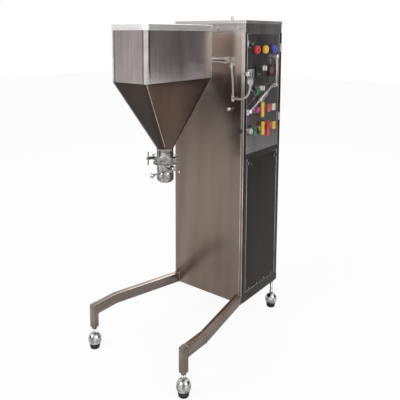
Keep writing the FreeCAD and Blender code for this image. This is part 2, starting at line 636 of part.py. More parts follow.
# ---- Valve and clamp -----------------------------------------------------------------------------

def valve():
    """The lever valve below the hopper: body, ball with stem, lever, and the outlet union."""
    top = "joint_z - gasket / 2"
    outside = turned("valve_outside", (
        ("0", "valve_low"), ("valve_radius", "valve_low"), ("valve_radius", "joint_z - 18"),
        ("ferrule_radius + 7", "joint_z - 18"), ("ferrule_radius + 7", "joint_z - 14"), ("neck_radius", "joint_z - 14"),
        ("neck_radius", f"{top} - ferrule_height"), ("ferrule_radius", f"{top} - ferrule_height / 2"),
        ("ferrule_radius", top), ("0", top)), ("0", "hopper_y", "0"))
    boss = bar("stem_boss", ("0", "hopper_y", "valve_z"), "stem_radius + 4",
               "lever_x - lever_radius - 1 - soft_gap", "x")
    bore = bar("valve_bore_hole", ("0", "hopper_y", "valve_low - 1"), "valve_bore", "60")
    funnel = doc.addObject("Part::Cone", "valve_funnel")
    funnel.setExpression("Radius1", sized("valve_bore"))
    funnel.setExpression("Radius2", sized("neck_radius - neck_wall"))
    funnel.setExpression("Height", sized(f"{top} - valve_z - ball_radius"))
    place(funnel, ("0", "hopper_y", "valve_z + ball_radius"))
    seat = ball("ball_seat", ("0", "hopper_y", "valve_z"), "ball_radius + run_fit")
    stem_hole = bar("stem_hole", ("0", "hopper_y", "valve_z"), "stem_radius + run_fit", "lever_x + 10", "x")
    node("valve_body", cut("valve_casting", joined("valve_mass", [outside, boss]), [bore, funnel, seat, stem_hole]))

    plug = ball("valve_plug", ("0", "hopper_y", "valve_z"), "ball_radius")
    port = bar("plug_port", ("0", "hopper_y - 2 * ball_radius", "valve_z"), "valve_bore", "4 * ball_radius", "y")
    stem = bar("valve_stem", ("valve_bore + 2", "hopper_y", "valve_z"), "stem_radius",
               "lever_x - lever_radius - 1 - valve_bore - 2", "x")
    node("valve_ball", joined("valve_ball_stem", [cut("plug_drilled", plug, [port]), stem]))

    hub = bar("lever_hub", ("lever_x - lever_radius - 1", "hopper_y", "valve_z"), "stem_radius + 4",
              "2 * lever_radius + 2", "x")
    rod = bar("lever_rod", ("lever_x", "hopper_y", "valve_z"), "lever_radius", "lever_length", "-y")
    knob = ball("lever_end", ("lever_x", "hopper_y - lever_length", "valve_z"), "lever_knob")
    node("valve_lever", joined("lever_whole", [hub, rod, knob]))

    node("outlet_union", turned("union_nut", (
        ("outlet_bore", "outlet_low"), ("valve_radius - 8", "outlet_low"), ("valve_radius - 3", "outlet_low + 4"),
        ("valve_radius + 1", "outlet_low + 8"), ("valve_radius + 1", "valve_low - 4"),
        ("valve_radius - 2", "valve_low"), ("outlet_bore", "valve_low")), ("0", "hopper_y", "0")))


def clamp():
    """The two-part clamp round the ferrules, with its gasket, hinge knuckle, swing bolt and wing nut."""
    node("clamp_gasket", turned("clamp_gasket_ring", (
        ("neck_radius - neck_wall", "joint_z - gasket / 2"), ("ferrule_radius", "joint_z - gasket / 2"),
        ("ferrule_radius", "joint_z + gasket / 2"), ("neck_radius - neck_wall", "joint_z + gasket / 2")),
        ("0", "hopper_y", "0")))
    low = "joint_z - clamp_height / 2"
    bolt_x = "(-clamp_radius - bolt_out)"
    halves = []
    for name, front in (("clamp_front", True), ("clamp_rear", False)):
        ring = bar(name + "_ring", ("0", "hopper_y", low), "clamp_radius", "clamp_height")
        ear_low = "hopper_y - 10" if front else "hopper_y + clamp_split / 2"
        ear = block(name + "_ear", (f"{bolt_x} - bolt_out", ear_low, "joint_z - 11"),
                    ("2 * bolt_out + 10", "10 - clamp_split / 2", "22"))
        knuckle = block(name + "_knuckle", ("clamp_radius - 8", ear_low, "joint_z - 9"),
                        ("20", "10 - clamp_split / 2", "18"))
        groove = turned(name + "_groove", (
            ("0", f"-{FERRULES} - 20"), ("neck_radius + soft_gap", f"-{FERRULES} - 20"),
            ("neck_radius + soft_gap", f"-{FERRULES}"), ("ferrule_radius + soft_gap", "-ferrule_height"),
            ("ferrule_radius + soft_gap", "ferrule_height"), ("neck_radius + soft_gap", FERRULES),
            ("neck_radius + soft_gap", f"{FERRULES} + 20"), ("0", f"{FERRULES} + 20")),
            ("0", "hopper_y", "joint_z"))
        far_low = "hopper_y - clamp_split / 2" if front else "hopper_y - 2 * clamp_radius"
        half = block(name + "_other_half", ("-2 * clamp_radius", far_low, f"{low} - 1"),
                     ("4 * clamp_radius", "2 * clamp_radius + clamp_split / 2", "clamp_height + 2"))
        bolt_hole = bar(name + "_bolt_hole", (bolt_x, "hopper_y - 20", "joint_z"), "bolt_radius + run_fit", "40", "y")
        halves.append(cut(name + "_half", joined(name + "_mass", [ring, ear, knuckle]), [groove, half, bolt_hole]))
    bolt = bar("swing_bolt", (bolt_x, "hopper_y - bolt_reach", "joint_z"), "bolt_radius", "bolt_reach + 10", "y")
    head = bar("swing_bolt_head", (bolt_x, "hopper_y + 10", "joint_z"), "bolt_radius + 3", "5", "y")
    node("clamp_front", halves[0])
    node("clamp_rear", together("clamp_rear_with_bolt", [halves[1], joined("clamp_bolt_whole", [bolt, head])]))
    hub = bar("wing_hub", (bolt_x, "hopper_y - wing_reach", "joint_z"), "bolt_radius + 2.5",
              "wing_reach - 10 - soft_gap", "y")
    wings = block("wings", (f"{bolt_x} - 3", "hopper_y - wing_reach", "joint_z - wing_span / 2"),
                  ("6", "6", "wing_span"))
    thread = bar("wing_hole", (bolt_x, "hopper_y - wing_reach - 1", "joint_z"), "bolt_radius + run_fit",
                 "wing_reach", "y")
    node("clamp_wing_nut", cut("wing_nut", joined("wing_mass", [hub, wings]), [thread]))


FERRULES = "(ferrule_height + gasket / 2 + 1)"


# ---- Air regulator and air line ------------------------------------------------------------------

def regulator():
    """The regulator on the cabinet's front corner: body with bracket and gauge, bowl, and knob."""
    half = "reg_side / 2"
    body = block("reg_block", (f"reg_x - {half}", f"reg_y - {half}", "reg_z - 10"), ("reg_side", "reg_side", "reg_high"))
    bracket = block("reg_bracket", ("cab_width / 2", "reg_y + 1", "reg_z + 2"),
                    (f"reg_x - {half} - cab_width / 2", "9", "14"))
    gauge = bar("reg_gauge", ("reg_x", f"reg_y - {half} - 9", "reg_z - 10 + reg_high / 2"), "gauge_radius", "9", "y")
    node("regulator_body", joined("reg_body_whole", [body, bracket, gauge]))
    node("regulator_bowl", turned("reg_bowl", (
        ("0", "reg_z - 33"), ("bowl_radius - 7", "reg_z - 33"), ("bowl_radius", "reg_z - 27"),
        ("bowl_radius", "reg_z - 10"), ("0", "reg_z - 10")), ("reg_x", "reg_y", "0")))
    top = "(reg_z - 10 + reg_high)"
    node("regulator_knob", turned("reg_knob", (
        ("hose_radius + run_fit", top), ("reg_knob_radius", top), ("reg_knob_radius", f"{top} + 10"),
        ("reg_knob_radius - 2", f"{top} + 12"), ("hose_radius + run_fit", f"{top} + 12")), ("reg_x", "reg_y", "0")))


def air_line():
    """The air line: bulkhead by the cross bar, down to the tee, round the corner to the regulator."""
    vector = FreeCAD.Vector
    front, radius = value("cab_front"), value("hose_radius")
    reach = value("fitting_radius + hose_radius")
    line_y = front - reach
    reg = vector(value("reg_x"), value("reg_y"), value("reg_z"))
    supply_top = vector(value("bar_end + 14"), line_y, value("supply_z"))
    tee = vector(value("bar_end + 22"), line_y, value("tee_z"))
    inlet_low = reg - vector(0, 0, 39)
    supply = [supply_top, supply_top + vector(6, 0, -44), tee + vector(0, 0, 37), tee + vector(0, 0, 10)]
    branch = [tee + vector(10, 0, 0), tee + vector(32, 0, -4), vector(reg.x - 14, line_y - 2, tee.z + 9),
              vector(reg.x, reg.y - 6, tee.z + 29), inlet_low]
    node("air_hoses", shaped("air_hoses_all", Part.makeCompound([hose(supply, radius), hose(branch, radius)])))
    wide = value("fitting_radius")

    def stub(at, length, direction, thick):
        return Part.makeCylinder(thick, length, at, direction)

    elbow = stub(supply_top, 20, vector(0, 0, 1), wide).fuse(
        [stub(supply_top + vector(0, 0, 14), reach, vector(0, 1, 0), wide * 0.9)])
    tee_body = stub(vector(tee.x, line_y, tee.z - 12), 22, vector(0, 0, 1), wide).fuse(
        [stub(tee, 10, vector(1, 0, 0), wide * 0.9), stub(tee, reach, vector(0, 1, 0), wide * 0.9)])
    drop_at = vector(value("bar_end + 4"), line_y, value("drop_z"))
    drop = stub(drop_at, reach, vector(0, 1, 0), wide * 0.7).fuse(Part.makeSphere(wide * 1.2, drop_at))
    inlet = stub(inlet_low, 6, vector(0, 0, 1), wide)
    breather = stub(vector(value("breather_x"), front + value("breather_back"), value("cover_top")), 20,
                    vector(0, 0, 1), wide * 0.8)
    node("air_fittings", shaped("air_fittings_all", Part.makeCompound([elbow, tee_body, drop, inlet, breather])))


# ---- Piston drive inside the cabinet -------------------------------------------------------------

PRODUCT_TOP = "(product_low + product_length)"
AIR_BARREL = "(air_low + cap_thick)"
AIR_TOP = "(air_low + cap_thick + air_length)"


def drive_mount():
    """A back plate on the cabinet's rear wall with three shelves that hold the two cylinders."""
    plate_y = f"({CAB_BACK} - sheet - plate_thick)"
    pieces = [block("drive_plate", ("drive_x - bracket_wide / 2", plate_y, "product_low - 60"),
                    ("bracket_wide", "plate_thick", f"{AIR_TOP} + 60 - product_low + 60"))]
    for name, z, hole in (("shelf_low", "product_low - bracket_thick", "0"),
                          ("shelf_mid", PRODUCT_TOP, "product_bore + 1"),
                          ("shelf_air", "air_low - bracket_thick", "rod_radius + 5")):
        shelf = block(name, ("drive_x - bracket_wide / 2", "drive_y - cap_side / 2 - 5", z),
                      ("bracket_wide", f"{plate_y} - drive_y + cap_side / 2 + 5", "bracket_thick"))
        if hole != "0":
            shelf = cut(name + "_bored", shelf, [bar(name + "_bore", ("drive_x", "drive_y", f"{z} - 1"), hole,
                                                     "bracket_thick + 2")])
        pieces.append(shelf)
    node("drive_mount", joined("drive_mount_weld", pieces))


def drive_cylinders():
    """The product barrel, and the air barrel between its end caps with four tie rods."""
    node("product_barrel", turned("product_barrel_tube", (
        ("0", "product_low"), ("product_bore + product_wall", "product_low"),
        ("product_bore + product_wall", PRODUCT_TOP), ("product_bore", PRODUCT_TOP),
        ("product_bore", "product_low + 10"), ("0", "product_low + 10")), ("drive_x", "drive_y", "0")))
    node("air_barrel", turned("air_barrel_tube", (
        ("air_bore", AIR_BARREL), ("air_bore + air_wall", AIR_BARREL), ("air_bore + air_wall", AIR_TOP),
        ("air_bore", AIR_TOP)), ("drive_x", "drive_y", "0")))
    ends = []
    offset = "(cap_side / 2 - 8)"
    for name, z in (("cap_low", "air_low"), ("cap_high", AIR_TOP)):
        cap = block(name, ("drive_x - cap_side / 2", "drive_y - cap_side / 2", z), ("cap_side", "cap_side", "cap_thick"))
        if name == "cap_low":
            cap = cut("cap_low_bored", cap, [bar("cap_low_bore", ("drive_x", "drive_y", f"{z} - 1"),
                                                 "rod_radius + run_fit", "cap_thick + 2")])
        ends.append(cap)
    rods = [bar(f"tie_rod_{i}", (f"drive_x + {sx} * {offset}", f"drive_y + {sy} * {offset}", AIR_BARREL), "4",
                "air_length") for i, (sx, sy) in enumerate(((-1, -1), (1, -1), (1, 1), (-1, 1)))]
    node("air_cylinder_ends", together("air_cylinder_ends_tied", ends + rods))


def drive_piston():
    """The moving rod, with the product piston below, the coupler, and the air piston above."""
    low = "(product_low + 10.5)"
    air = f"({AIR_BARREL} + 0.5)"
    node("piston_rod", turned("piston_rod_whole", (
        ("0", low), ("product_bore - run_fit", low), ("product_bore - run_fit", f"{low} + piston_thick"),
        ("rod_radius", f"{low} + piston_thick"), ("rod_radius", f"{low} + 60"), ("rod_radius + 4", f"{low} + 60"),
        ("rod_radius + 4", f"{low} + 95"), ("rod_radius", f"{low} + 95"), ("rod_radius", air),
        ("air_bore - run_fit", air), ("air_bore - run_fit", f"{air} + piston_thick"),
        ("0", f"{air} + piston_thick")), ("drive_x", "drive_y", "0")))


for build in (frame_and_feet, cabinet_shell, header_band, control_door, lower_panel, door_hinges, device_bodies,
              lamps, buttons, selectors, meters, guard_bar, hopper, hopper_bracket, valve, clamp, regulator,
              air_line, drive_mount, drive_cylinders, drive_piston):
    build()
doc.recompute()

failed = [o.Name for o in doc.Objects if "Invalid" in o.State or "Error" in o.State]
bad = [o.Label for o in nodes if o.Shape.isNull() or not o.Shape.isValid() or not o.Shape.Solids]
if failed or bad:
    raise SystemExit(f"not written: failed {failed}, bad shapes {bad}")
os.makedirs("parts", exist_ok=True)
for obj in nodes:
    obj.Shape.exportStep(f"parts/{obj.Label}.step")
print(len(nodes), "sub-parts")
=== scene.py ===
import math

import bmesh
import bpy
from mathutils import Matrix, Vector


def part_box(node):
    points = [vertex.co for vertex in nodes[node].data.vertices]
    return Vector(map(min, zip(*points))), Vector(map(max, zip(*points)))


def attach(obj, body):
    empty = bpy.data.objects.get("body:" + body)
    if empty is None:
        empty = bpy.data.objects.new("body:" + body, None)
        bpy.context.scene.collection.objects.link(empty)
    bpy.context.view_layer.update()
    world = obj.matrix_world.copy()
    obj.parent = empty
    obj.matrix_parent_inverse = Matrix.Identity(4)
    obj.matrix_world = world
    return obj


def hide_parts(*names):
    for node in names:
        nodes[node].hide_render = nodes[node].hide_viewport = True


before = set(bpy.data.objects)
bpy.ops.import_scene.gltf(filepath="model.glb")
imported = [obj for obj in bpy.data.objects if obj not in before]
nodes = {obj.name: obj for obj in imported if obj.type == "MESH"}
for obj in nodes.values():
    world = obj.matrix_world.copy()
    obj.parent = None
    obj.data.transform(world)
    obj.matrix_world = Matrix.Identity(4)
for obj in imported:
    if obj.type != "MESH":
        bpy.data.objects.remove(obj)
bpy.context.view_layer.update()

# ---- The studio ----------------------------------------------------------------------------------
# A pale floor under soft lamps, with a camera at the height of a standing person's chest, to the
# right of the machine's front corner. Two dark screens off to the sides show only in the metal.

camera = bpy.data.objects.new("camera", bpy.data.cameras.new("camera"))
bpy.context.scene.collection.objects.link(camera)
bpy.context.scene.camera = camera
camera.data.lens = 46.74
camera.data.shift_x = 0.0364
camera.data.shift_y = -0.2391
camera.location = (1.264, -1.6527, 1.245)
camera.rotation_euler = (math.radians(82.33), 0, math.radians(38.52))
bpy.context.scene.view_settings.view_transform = "Standard"


def wire(tree, *links):
    """Joins sockets, each link being (node, output, node, input)."""
    for source, output, target, socket in links:
        tree.links.new(source.outputs[output], target.inputs[socket])


def math_node(tree, operation, *numbers):
    """A Math node with its plain inputs filled in; None leaves one for a link."""
    made = tree.nodes.new("ShaderNodeMath")
    made.operation = operation
    for socket, number in zip(made.inputs, numbers):
        if number is not None:
            socket.default_value = number
    return made


def fill(node, settings):
    """Sets a node's plain inputs by name."""
    for socket, setting in settings.items():
        node.inputs[socket].default_value = setting


def new_nodes(tree, *kinds):
    """Nodes of these kinds, in this order."""
    return [tree.nodes.new(kind) for kind in kinds]


def plain_material(name):
    """A material with its node tree."""
    material = bpy.data.materials.new(name)
    material.use_nodes = True
    return material, material.node_tree


world = bpy.data.worlds.new("studio")
bpy.context.scene.world = world
world.use_nodes = True
sky = world.node_tree
rays = sky.nodes.new("ShaderNodeLightPath")
seen, seen_through = math_node(sky, "MAXIMUM"), math_node(sky, "MAXIMUM")
strength = math_node(sky, "MULTIPLY_ADD", None, 0.42, 0.58)
wire(sky, (rays, "Is Camera Ray", seen, 0), (rays, "Is Glossy Ray", seen, 1), (seen, 0, seen_through, 0),
     (rays, "Is Transmission Ray", seen_through, 1), (seen_through, 0, strength, 0),
     (strength, 0, sky.nodes["Background"], "Strength"))
fill(sky.nodes["Background"], {"Color": (1, 1, 1, 1)})


def sheet_of(name, centre, across, up):
    """A flat rectangle, given by its centre and two half-side vectors."""
    mesh = bpy.data.meshes.new(name)
    corners = [Vector(centre) + Vector(across) * a + Vector(up) * b for a,
               b in ((-1, -1), (1, -1), (1, 1), (-1, 1))]
    mesh.from_pydata(corners, [], [(0, 1, 2, 3)])
    made = bpy.data.objects.new(name, mesh)
    bpy.context.scene.collection.objects.link(made)
    return made


floor = sheet_of("floor", (0, 0, 0), (12, 0, 0), (0, 12, 0))
floor_paint, paint = plain_material("floor_paint")
fill(paint.nodes["Principled BSDF"], {"Base Color": (0.88, 0.88, 0.88, 1), "Roughness": 0.9})
white, ray_kind, blend_in = new_nodes(paint, "ShaderNodeEmission", "ShaderNodeLightPath",
                                      "ShaderNodeMixShader")
fill(white, {"Color": (1, 1, 1, 1)})
share = math_node(paint, "MULTIPLY", None, 0.92)
wire(paint, (ray_kind, "Is Camera Ray", share, 0), (share, 0, blend_in, 0),
     (paint.nodes["Principled BSDF"], 0, blend_in, 1), (white, 0, blend_in, 2),
     (blend_in, 0, paint.nodes["Material Output"], "Surface"))
floor.data.materials.append(floor_paint)

for screen_name, screen_centre, screen_across, shade in (
        ("screen_right", (3.2, 3.4, 1.4), (1.5, -1.4, 0), 0.10),
        ("screen_left", (-3.4, -3.6, 1.2), (0.9, -0.8, 0), 0.30)):
    screen = sheet_of(screen_name, screen_centre, screen_across, (0, 0, 1.8))
    dull, dull_tree = plain_material(screen_name)
    dull_light = dull_tree.nodes.new("ShaderNodeEmission")
    fill(dull_light, {"Color": (shade, shade * 0.92, shade * 0.88, 1)})
    wire(dull_tree, (dull_light, 0, dull_tree.nodes["Material Output"], "Surface"))
    screen.data.materials.append(dull)
    for rays_off in ("camera", "diffuse", "shadow", "transmission"):
        setattr(screen, "visible_" + rays_off, False)

for lamp_name, lamp_at, lamp_size, watts in (("lamp_front", (-1.2, -3.4, 2.9), 1.8, 62),
                                             ("lamp_side", (3.3, -0.6, 2.6), 1.6, 34),
                                             ("lamp_back", (-1.8, 3.0, 2.8), 1.8, 34)):
    lamp = bpy.data.objects.new(lamp_name, bpy.data.lights.new(lamp_name, "AREA"))
    lamp.data.size = lamp_size
    lamp.data.energy = watts
    lamp.location = lamp_at
    lamp.rotation_euler = (Vector((0, 0, 0.8)) - Vector(lamp_at)).to_track_quat("-Z", "Y").to_euler()
    bpy.context.scene.collection.objects.link(lamp)

# ---- Cabinet -------------------------------------------------------------------------------------
# The wrapper is 2 mm stainless sheet, ground with a vertical grain and wiped to soft streaks. A
# set-in band closes its top, held by pan-head screws, under a shallow cover.


def node_group(name, kind, inputs, outputs):
    """A node group with typed, named sockets. Gives the group and its two end nodes."""
    group = bpy.data.node_groups.new(name, kind)
    for way, sockets in (("INPUT", inputs), ("OUTPUT", outputs)):
        for socket, of_kind in sockets.items():
            group.interface.new_socket(socket, in_out=way, socket_type="NodeSocket" + of_kind)
    return group, *new_nodes(group, "NodeGroupInput", "NodeGroupOutput")


SURFACE = {"Color": "Color", "Roughness": "Float", "Height": "Float"}


def brushed_group():
    """Colour, roughness and height of ground steel: broad smears with a fine grain over them."""
    group, inner, outer = node_group(
        "ground steel", "ShaderNodeTree",
        {"Dark": "Color", "Light": "Color", "Smear Scale": "Vector", "Grain Scale": "Vector",
         "Dullness": "Float"},
        SURFACE)
    place, smear_map, grain_map, smear, grain, spread, colour = new_nodes(
        group, "ShaderNodeTexCoord", "ShaderNodeMapping", "ShaderNodeMapping", "ShaderNodeTexNoise",
        "ShaderNodeTexNoise", "ShaderNodeMapRange", "ShaderNodeMix")
    fill(smear, {"Scale": 1, "Detail": 3, "Distortion": 0.4})
    fill(grain, {"Scale": 1, "Detail": 6})
    fill(spread, {"From Min": 0.32, "From Max": 0.68})
    colour.data_type = "RGBA"
    part = math_node(group, "MULTIPLY", None, 0.22)
    mixed = math_node(group, "MULTIPLY_ADD", None, 0.78, None)
    rough = math_node(group, "MULTIPLY_ADD", None, 0.14, None)
    wire(group, (place, "Object", smear_map, "Vector"), (place, "Object", grain_map, "Vector"),
         (inner, "Smear Scale", smear_map, "Scale"), (inner, "Grain Scale", grain_map, "Scale"),
         (smear_map, 0, smear, "Vector"), (grain_map, 0, grain, "Vector"), (smear, 0, spread, "Value"),
         (grain, 0, part, 0), (spread, 0, mixed, 0), (part, 0, mixed, 2), (mixed, 0, colour, 0),
         (grain, 0, rough, 0), (inner, "Dullness", rough, 2), (rough, 0, outer, "Roughness"),
         (grain, 0, outer, "Height"), (inner, "Dark", colour, 6), (inner, "Light", colour, 7),
         (colour, 2, outer, "Color"))
    return group


def painted_shade_group():
    """Paints shade into a colour: multiplies it by a tint on the sides that face front and right, and by
    another below a height.
    """
    group, inner, outer = node_group(
        "painted side shade", "ShaderNodeTree",
        {"Color": "Color", "Front Tint": "Color", "Right Tint": "Color", "Low Tint": "Color",
         "Low From": "Float", "Low To": "Float"}, {"Color": "Color"})
    place, facing, height = new_nodes(
        group, "ShaderNodeTexCoord", "ShaderNodeSeparateXYZ", "ShaderNodeSeparateXYZ")
    wire(group, (place, "Normal", facing, 0), (place, "Object", height, 0))
    latest, latest_socket = inner, "Color"
    for axis, source, limits, tint in (("Y", facing, (-0.55, -0.85), "Front Tint"),
                                       ("X", facing, (0.55, 0.85), "Right Tint"),
                                       ("Z", height, None, "Low Tint")):
        ramp, tinted = new_nodes(group, "ShaderNodeMapRange", "ShaderNodeMix")
        ramp.interpolation_type = "SMOOTHSTEP"
        if limits:
            fill(ramp, {"From Min": limits[0], "From Max": limits[1]})
        else:
            wire(group, (inner, "Low From", ramp, "From Min"), (inner, "Low To", ramp, "From Max"))
        tinted.data_type = "RGBA"
        tinted.blend_type = "MULTIPLY"
        tinted.clamp_result = True
        wire(group, (source, axis, ramp, "Value"), (ramp, 0, tinted, 0), (latest, latest_socket, tinted, 6),
             (inner, tint, tinted, 7))
        latest, latest_socket = tinted, 2
    wire(group, (latest, latest_socket, outer, "Color"))
    return group


ground_steel = brushed_group()
painted_side_shade = painted_shade_group()
VERTICAL_SMEAR, VERTICAL_GRAIN = (7, 7, 0.7), (420, 420, 9)
LEVEL_SMEAR, LEVEL_GRAIN = (1.2, 8, 8), (9, 420, 420)


def patterned(name, surface, settings, relief=None, depth=0.0003):
    """A material whose colour, roughness and fine relief come from a surface group with these settings."""
    material, tree = plain_material(name)
    shader = tree.nodes["Principled BSDF"]
    pattern = tree.nodes.new("ShaderNodeGroup")
    pattern.node_tree = surface
    fill(pattern, settings)
    wire(tree, (pattern, "Color", shader, "Base Color"), (pattern, "Roughness", shader, "Roughness"))
    if relief is not None:
        bump = tree.nodes.new("ShaderNodeBump")
        fill(bump, {"Strength": relief, "Distance": depth})
        wire(tree, (pattern, "Height", bump, "Height"), (bump, 0, shader, "Normal"))
    return material, tree, shader, pattern


def steel(name, dark, light, smear=VERTICAL_SMEAR, grain=VERTICAL_GRAIN, dullness=0.22, relief=0.06,
          front=None,
          right=None, low=None, low_from=1.13, low_to=1.02):
    """A ground or polished steel with its own tones, streak direction and dullness, with painted shade on
    the sides facing front and right and a darker tone below a height.
    """
    material, tree, shader, pattern = patterned(
        name, ground_steel, {"Dark": (*dark, 1), "Light": (*light, 1), "Smear Scale": smear,
                             "Grain Scale": grain,
                             "Dullness": dullness}, relief, 0.0004)
    fill(shader, {"Metallic": 1})
    if front or right or low:
        tone = tree.nodes.new("ShaderNodeGroup")
        tone.node_tree = painted_side_shade
        shade_tints = {"Front Tint": front, "Right Tint": right, "Low Tint": low}
        fill(tone, {socket: (*(tint or (1, 1, 1)), 1) for socket, tint in shade_tints.items()})
        fill(tone, {"Low From": low_from, "Low To": low_to})
        wire(tree, (pattern, "Color", tone, "Color"), (tone, "Color", shader, "Base Color"))
    return material


def dress(material, *names):
    """Gives CAD nodes a finish."""
    for name in names:
        nodes[name].data.materials.clear()
        nodes[name].data.materials.append(material)


# The cabinet's right-facing wall is painted in shade at about a fifth of the front's tone, and the sheet is
# darker below 1.12 m, fully so below 0.98 m.
cabinet_steel = steel("cabinet_steel", (0.52, 0.45, 0.39), (0.95, 0.88, 0.80), dullness=0.17,
                      right=(0.19, 0.185, 0.215), low=(0.31, 0.27, 0.25), low_from=1.12, low_to=0.98)
# The band's right-facing side carries a faint cool painted shade.
band_steel = steel("band_steel", (0.36, 0.34, 0.33), (0.68, 0.66, 0.65), LEVEL_SMEAR, LEVEL_GRAIN, 0.2,
                   right=(0.95, 0.97, 1.0))
cover_steel = steel("cover_steel", (0.52, 0.49, 0.47), (0.78, 0.76, 0.74), LEVEL_SMEAR, LEVEL_GRAIN, 0.3)
bright_steel = steel("bright_steel", (0.42, 0.39, 0.375), (0.82, 0.80, 0.79), (14, 14, 14), (300, 300, 300),
                     0.06,
                     0.02)
dress(cabinet_steel, "cabinet_shell")
dress(band_steel, "header_band")
dress(cover_steel, "top_cover")


def fastener_tree():
    """A row of screws: a flat head with a chamfered crown, repeated from a start point by a step."""
    tree, inner, outer = node_group(
        "fastener row", "GeometryNodeTree",
        {"Count": "Int", "Start": "Vector", "Step": "Vector", "Turn": "Rotation", "Head Radius": "Float",
         "Head Height": "Float", "Finish": "Material"}, {"Geometry": "Geometry"})
    row, head, crown, lift_head, lift_crown, move_head, move_crown, both, put, solid, finish = new_nodes(
        tree, "GeometryNodeMeshLine", "GeometryNodeMeshCylinder", "GeometryNodeMeshCone",
        "ShaderNodeCombineXYZ",
        "ShaderNodeCombineXYZ", "GeometryNodeTransform", "GeometryNodeTransform",
        "GeometryNodeJoinGeometry",
        "GeometryNodeInstanceOnPoints", "GeometryNodeRealizeInstances", "GeometryNodeSetMaterial")
    fill(head, {"Vertices": 16})
    fill(crown, {"Vertices": 16})
    narrow = math_node(tree, "MULTIPLY", None, 0.72)
    low_half = math_node(tree, "MULTIPLY", None, 0.5)
    crown_height = math_node(tree, "MULTIPLY", None, 0.35)
    wire(tree, (inner, "Count", row, "Count"), (inner, "Start", row, "Start Location"),
         (inner, "Step", row, "Offset"), (inner, "Head Radius", head, "Radius"),
         (inner, "Head Height", head, "Depth"), (inner, "Head Radius", crown, "Radius Bottom"),
         (inner, "Head Radius", narrow, 0), (narrow, 0, crown, "Radius Top"),
         (inner, "Head Height", crown_height, 0), (crown_height, 0, crown, "Depth"),
         (inner, "Head Height", low_half, 0), (low_half, 0, lift_head, "Z"),
         (inner, "Head Height", lift_crown, "Z"), (head, "Mesh", move_head, "Geometry"),
         (lift_head, 0, move_head, "Translation"), (crown, "Mesh", move_crown, "Geometry"),
         (lift_crown, 0, move_crown, "Translation"), (move_head, 0, both, 0), (move_crown, 0, both, 0),
         (row, 0, put, "Points"), (both, 0, put, "Instance"), (inner, "Turn", put, "Rotation"),
         (put, 0, solid, 0), (solid, 0, finish, "Geometry"), (inner, "Finish", finish, "Material"),
         (finish, 0, outer, 0))
    return tree


fastener_row = fastener_tree()


def grown(name, tree, body, slot, **inputs):
    """A piece made by a node tree with named inputs, turned into a plain mesh on one body."""
    made = bpy.data.objects.new(name, bpy.data.meshes.new(name))
    bpy.context.scene.collection.objects.link(made)
    growth = made.modifiers.new("growth", "NODES")
    growth.node_group = tree
    sockets = {item.name.replace(" ", "_").lower(): item.identifier for item in tree.interface.items_tree
               if item.in_out == "INPUT"}
    for key, number in inputs.items():
        growth[sockets[key]] = number
    made.update_tag()
    bpy.context.view_layer.update()
    depsgraph = bpy.context.evaluated_depsgraph_get()
    mesh = bpy.data.meshes.new_from_object(made.evaluated_get(depsgraph))
    made.modifiers.remove(growth)
    made.data = mesh
    mesh.shade_smooth()
    mesh.set_sharp_from_angle(angle=math.radians(32))
    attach(made, body)
    return made


FACING = {"-y": (math.radians(90), 0, 0), "+x": (0, math.radians(90), 0), "+y": (math.radians(-90), 0, 0),
          "-x": (0, math.radians(-90), 0), "+z": (0, 0, 0), "-z": (math.radians(180), 0, 0)}


def screws(name, body, start, step, count, facing, radius=0.0045, height=0.002, finish=None):
    """A row of screws on a face."""
    return grown(name, fastener_row, body, "polished", count=count, start=start, step=step,
                 turn=FACING[facing],
                 head_radius=radius, head_height=height, finish=finish or bright_steel)


CORNERS = ((1, 1, 0), (-1, 1, 90), (-1, -1, 180), (1, -1, 270))
shell_low, shell_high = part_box("cabinet_shell")
band_low, band_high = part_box("header_band")
band_mid = (band_low.z + band_high.z) / 2
band_inset = 0.03
screws("band_screws_front", "machine", (band_low.x + band_inset, band_low.y, band_mid),
       ((band_high.x - band_low.x - 2 * band_inset) / 3, 0, 0), 4, "-y", 0.006, 0.003)
screws("band_screws_left", "machine", (band_low.x, band_low.y + band_inset, band_mid),
       (0, (band_high.y - band_low.y - 2 * band_inset) / 2, 0), 3, "-x", 0.006, 0.003)
screws("band_screws_back", "machine", (band_low.x + band_inset, band_high.y, band_mid),
       ((band_high.x - band_low.x - 2 * band_inset) / 3, 0, 0), 4, "+y", 0.006, 0.003)


def mm(*pairs):
    """A profile's (radius, height) pairs given in millimetres, as metres."""
    return [(radius / 1000, height / 1000) for radius, height in pairs]


def lathe(bm, profile, centre, axis="z", sides=40, finish=0):
    """A turned shape: (radius, height) pairs from one end to the other, round an axis through a point."""
    turn = Matrix.Translation(Vector(centre)) @ {
        "z": Matrix.Identity(4), "x": Matrix.Rotation(math.radians(90), 4, "Y"),
        "y": Matrix.Rotation(math.radians(-90), 4, "X")}[axis]
    rings = []
    for radius, height in profile:
        if radius < 1e-6:
            rings.append([bm.verts.new(turn @ Vector((0, 0, height)))])
        else:
            rings.append([bm.verts.new(turn @ Vector((radius * math.cos(t), radius * math.sin(t), height)))
                          for t in (2 * math.pi * i / sides for i in range(sides))])
    closed = len(rings[0]) > 1
    for low, high in zip(rings, rings[1:] + (rings[:1] if closed else [])):
        for i in range(sides):
            j = (i + 1) % sides
            corners = [low[i % len(low)], low[j % len(low)], high[j % len(high)], high[i % len(high)]]
            unique = list(dict.fromkeys(corners))
            if len(unique) > 2:
                bm.faces.new(unique).material_index = finish


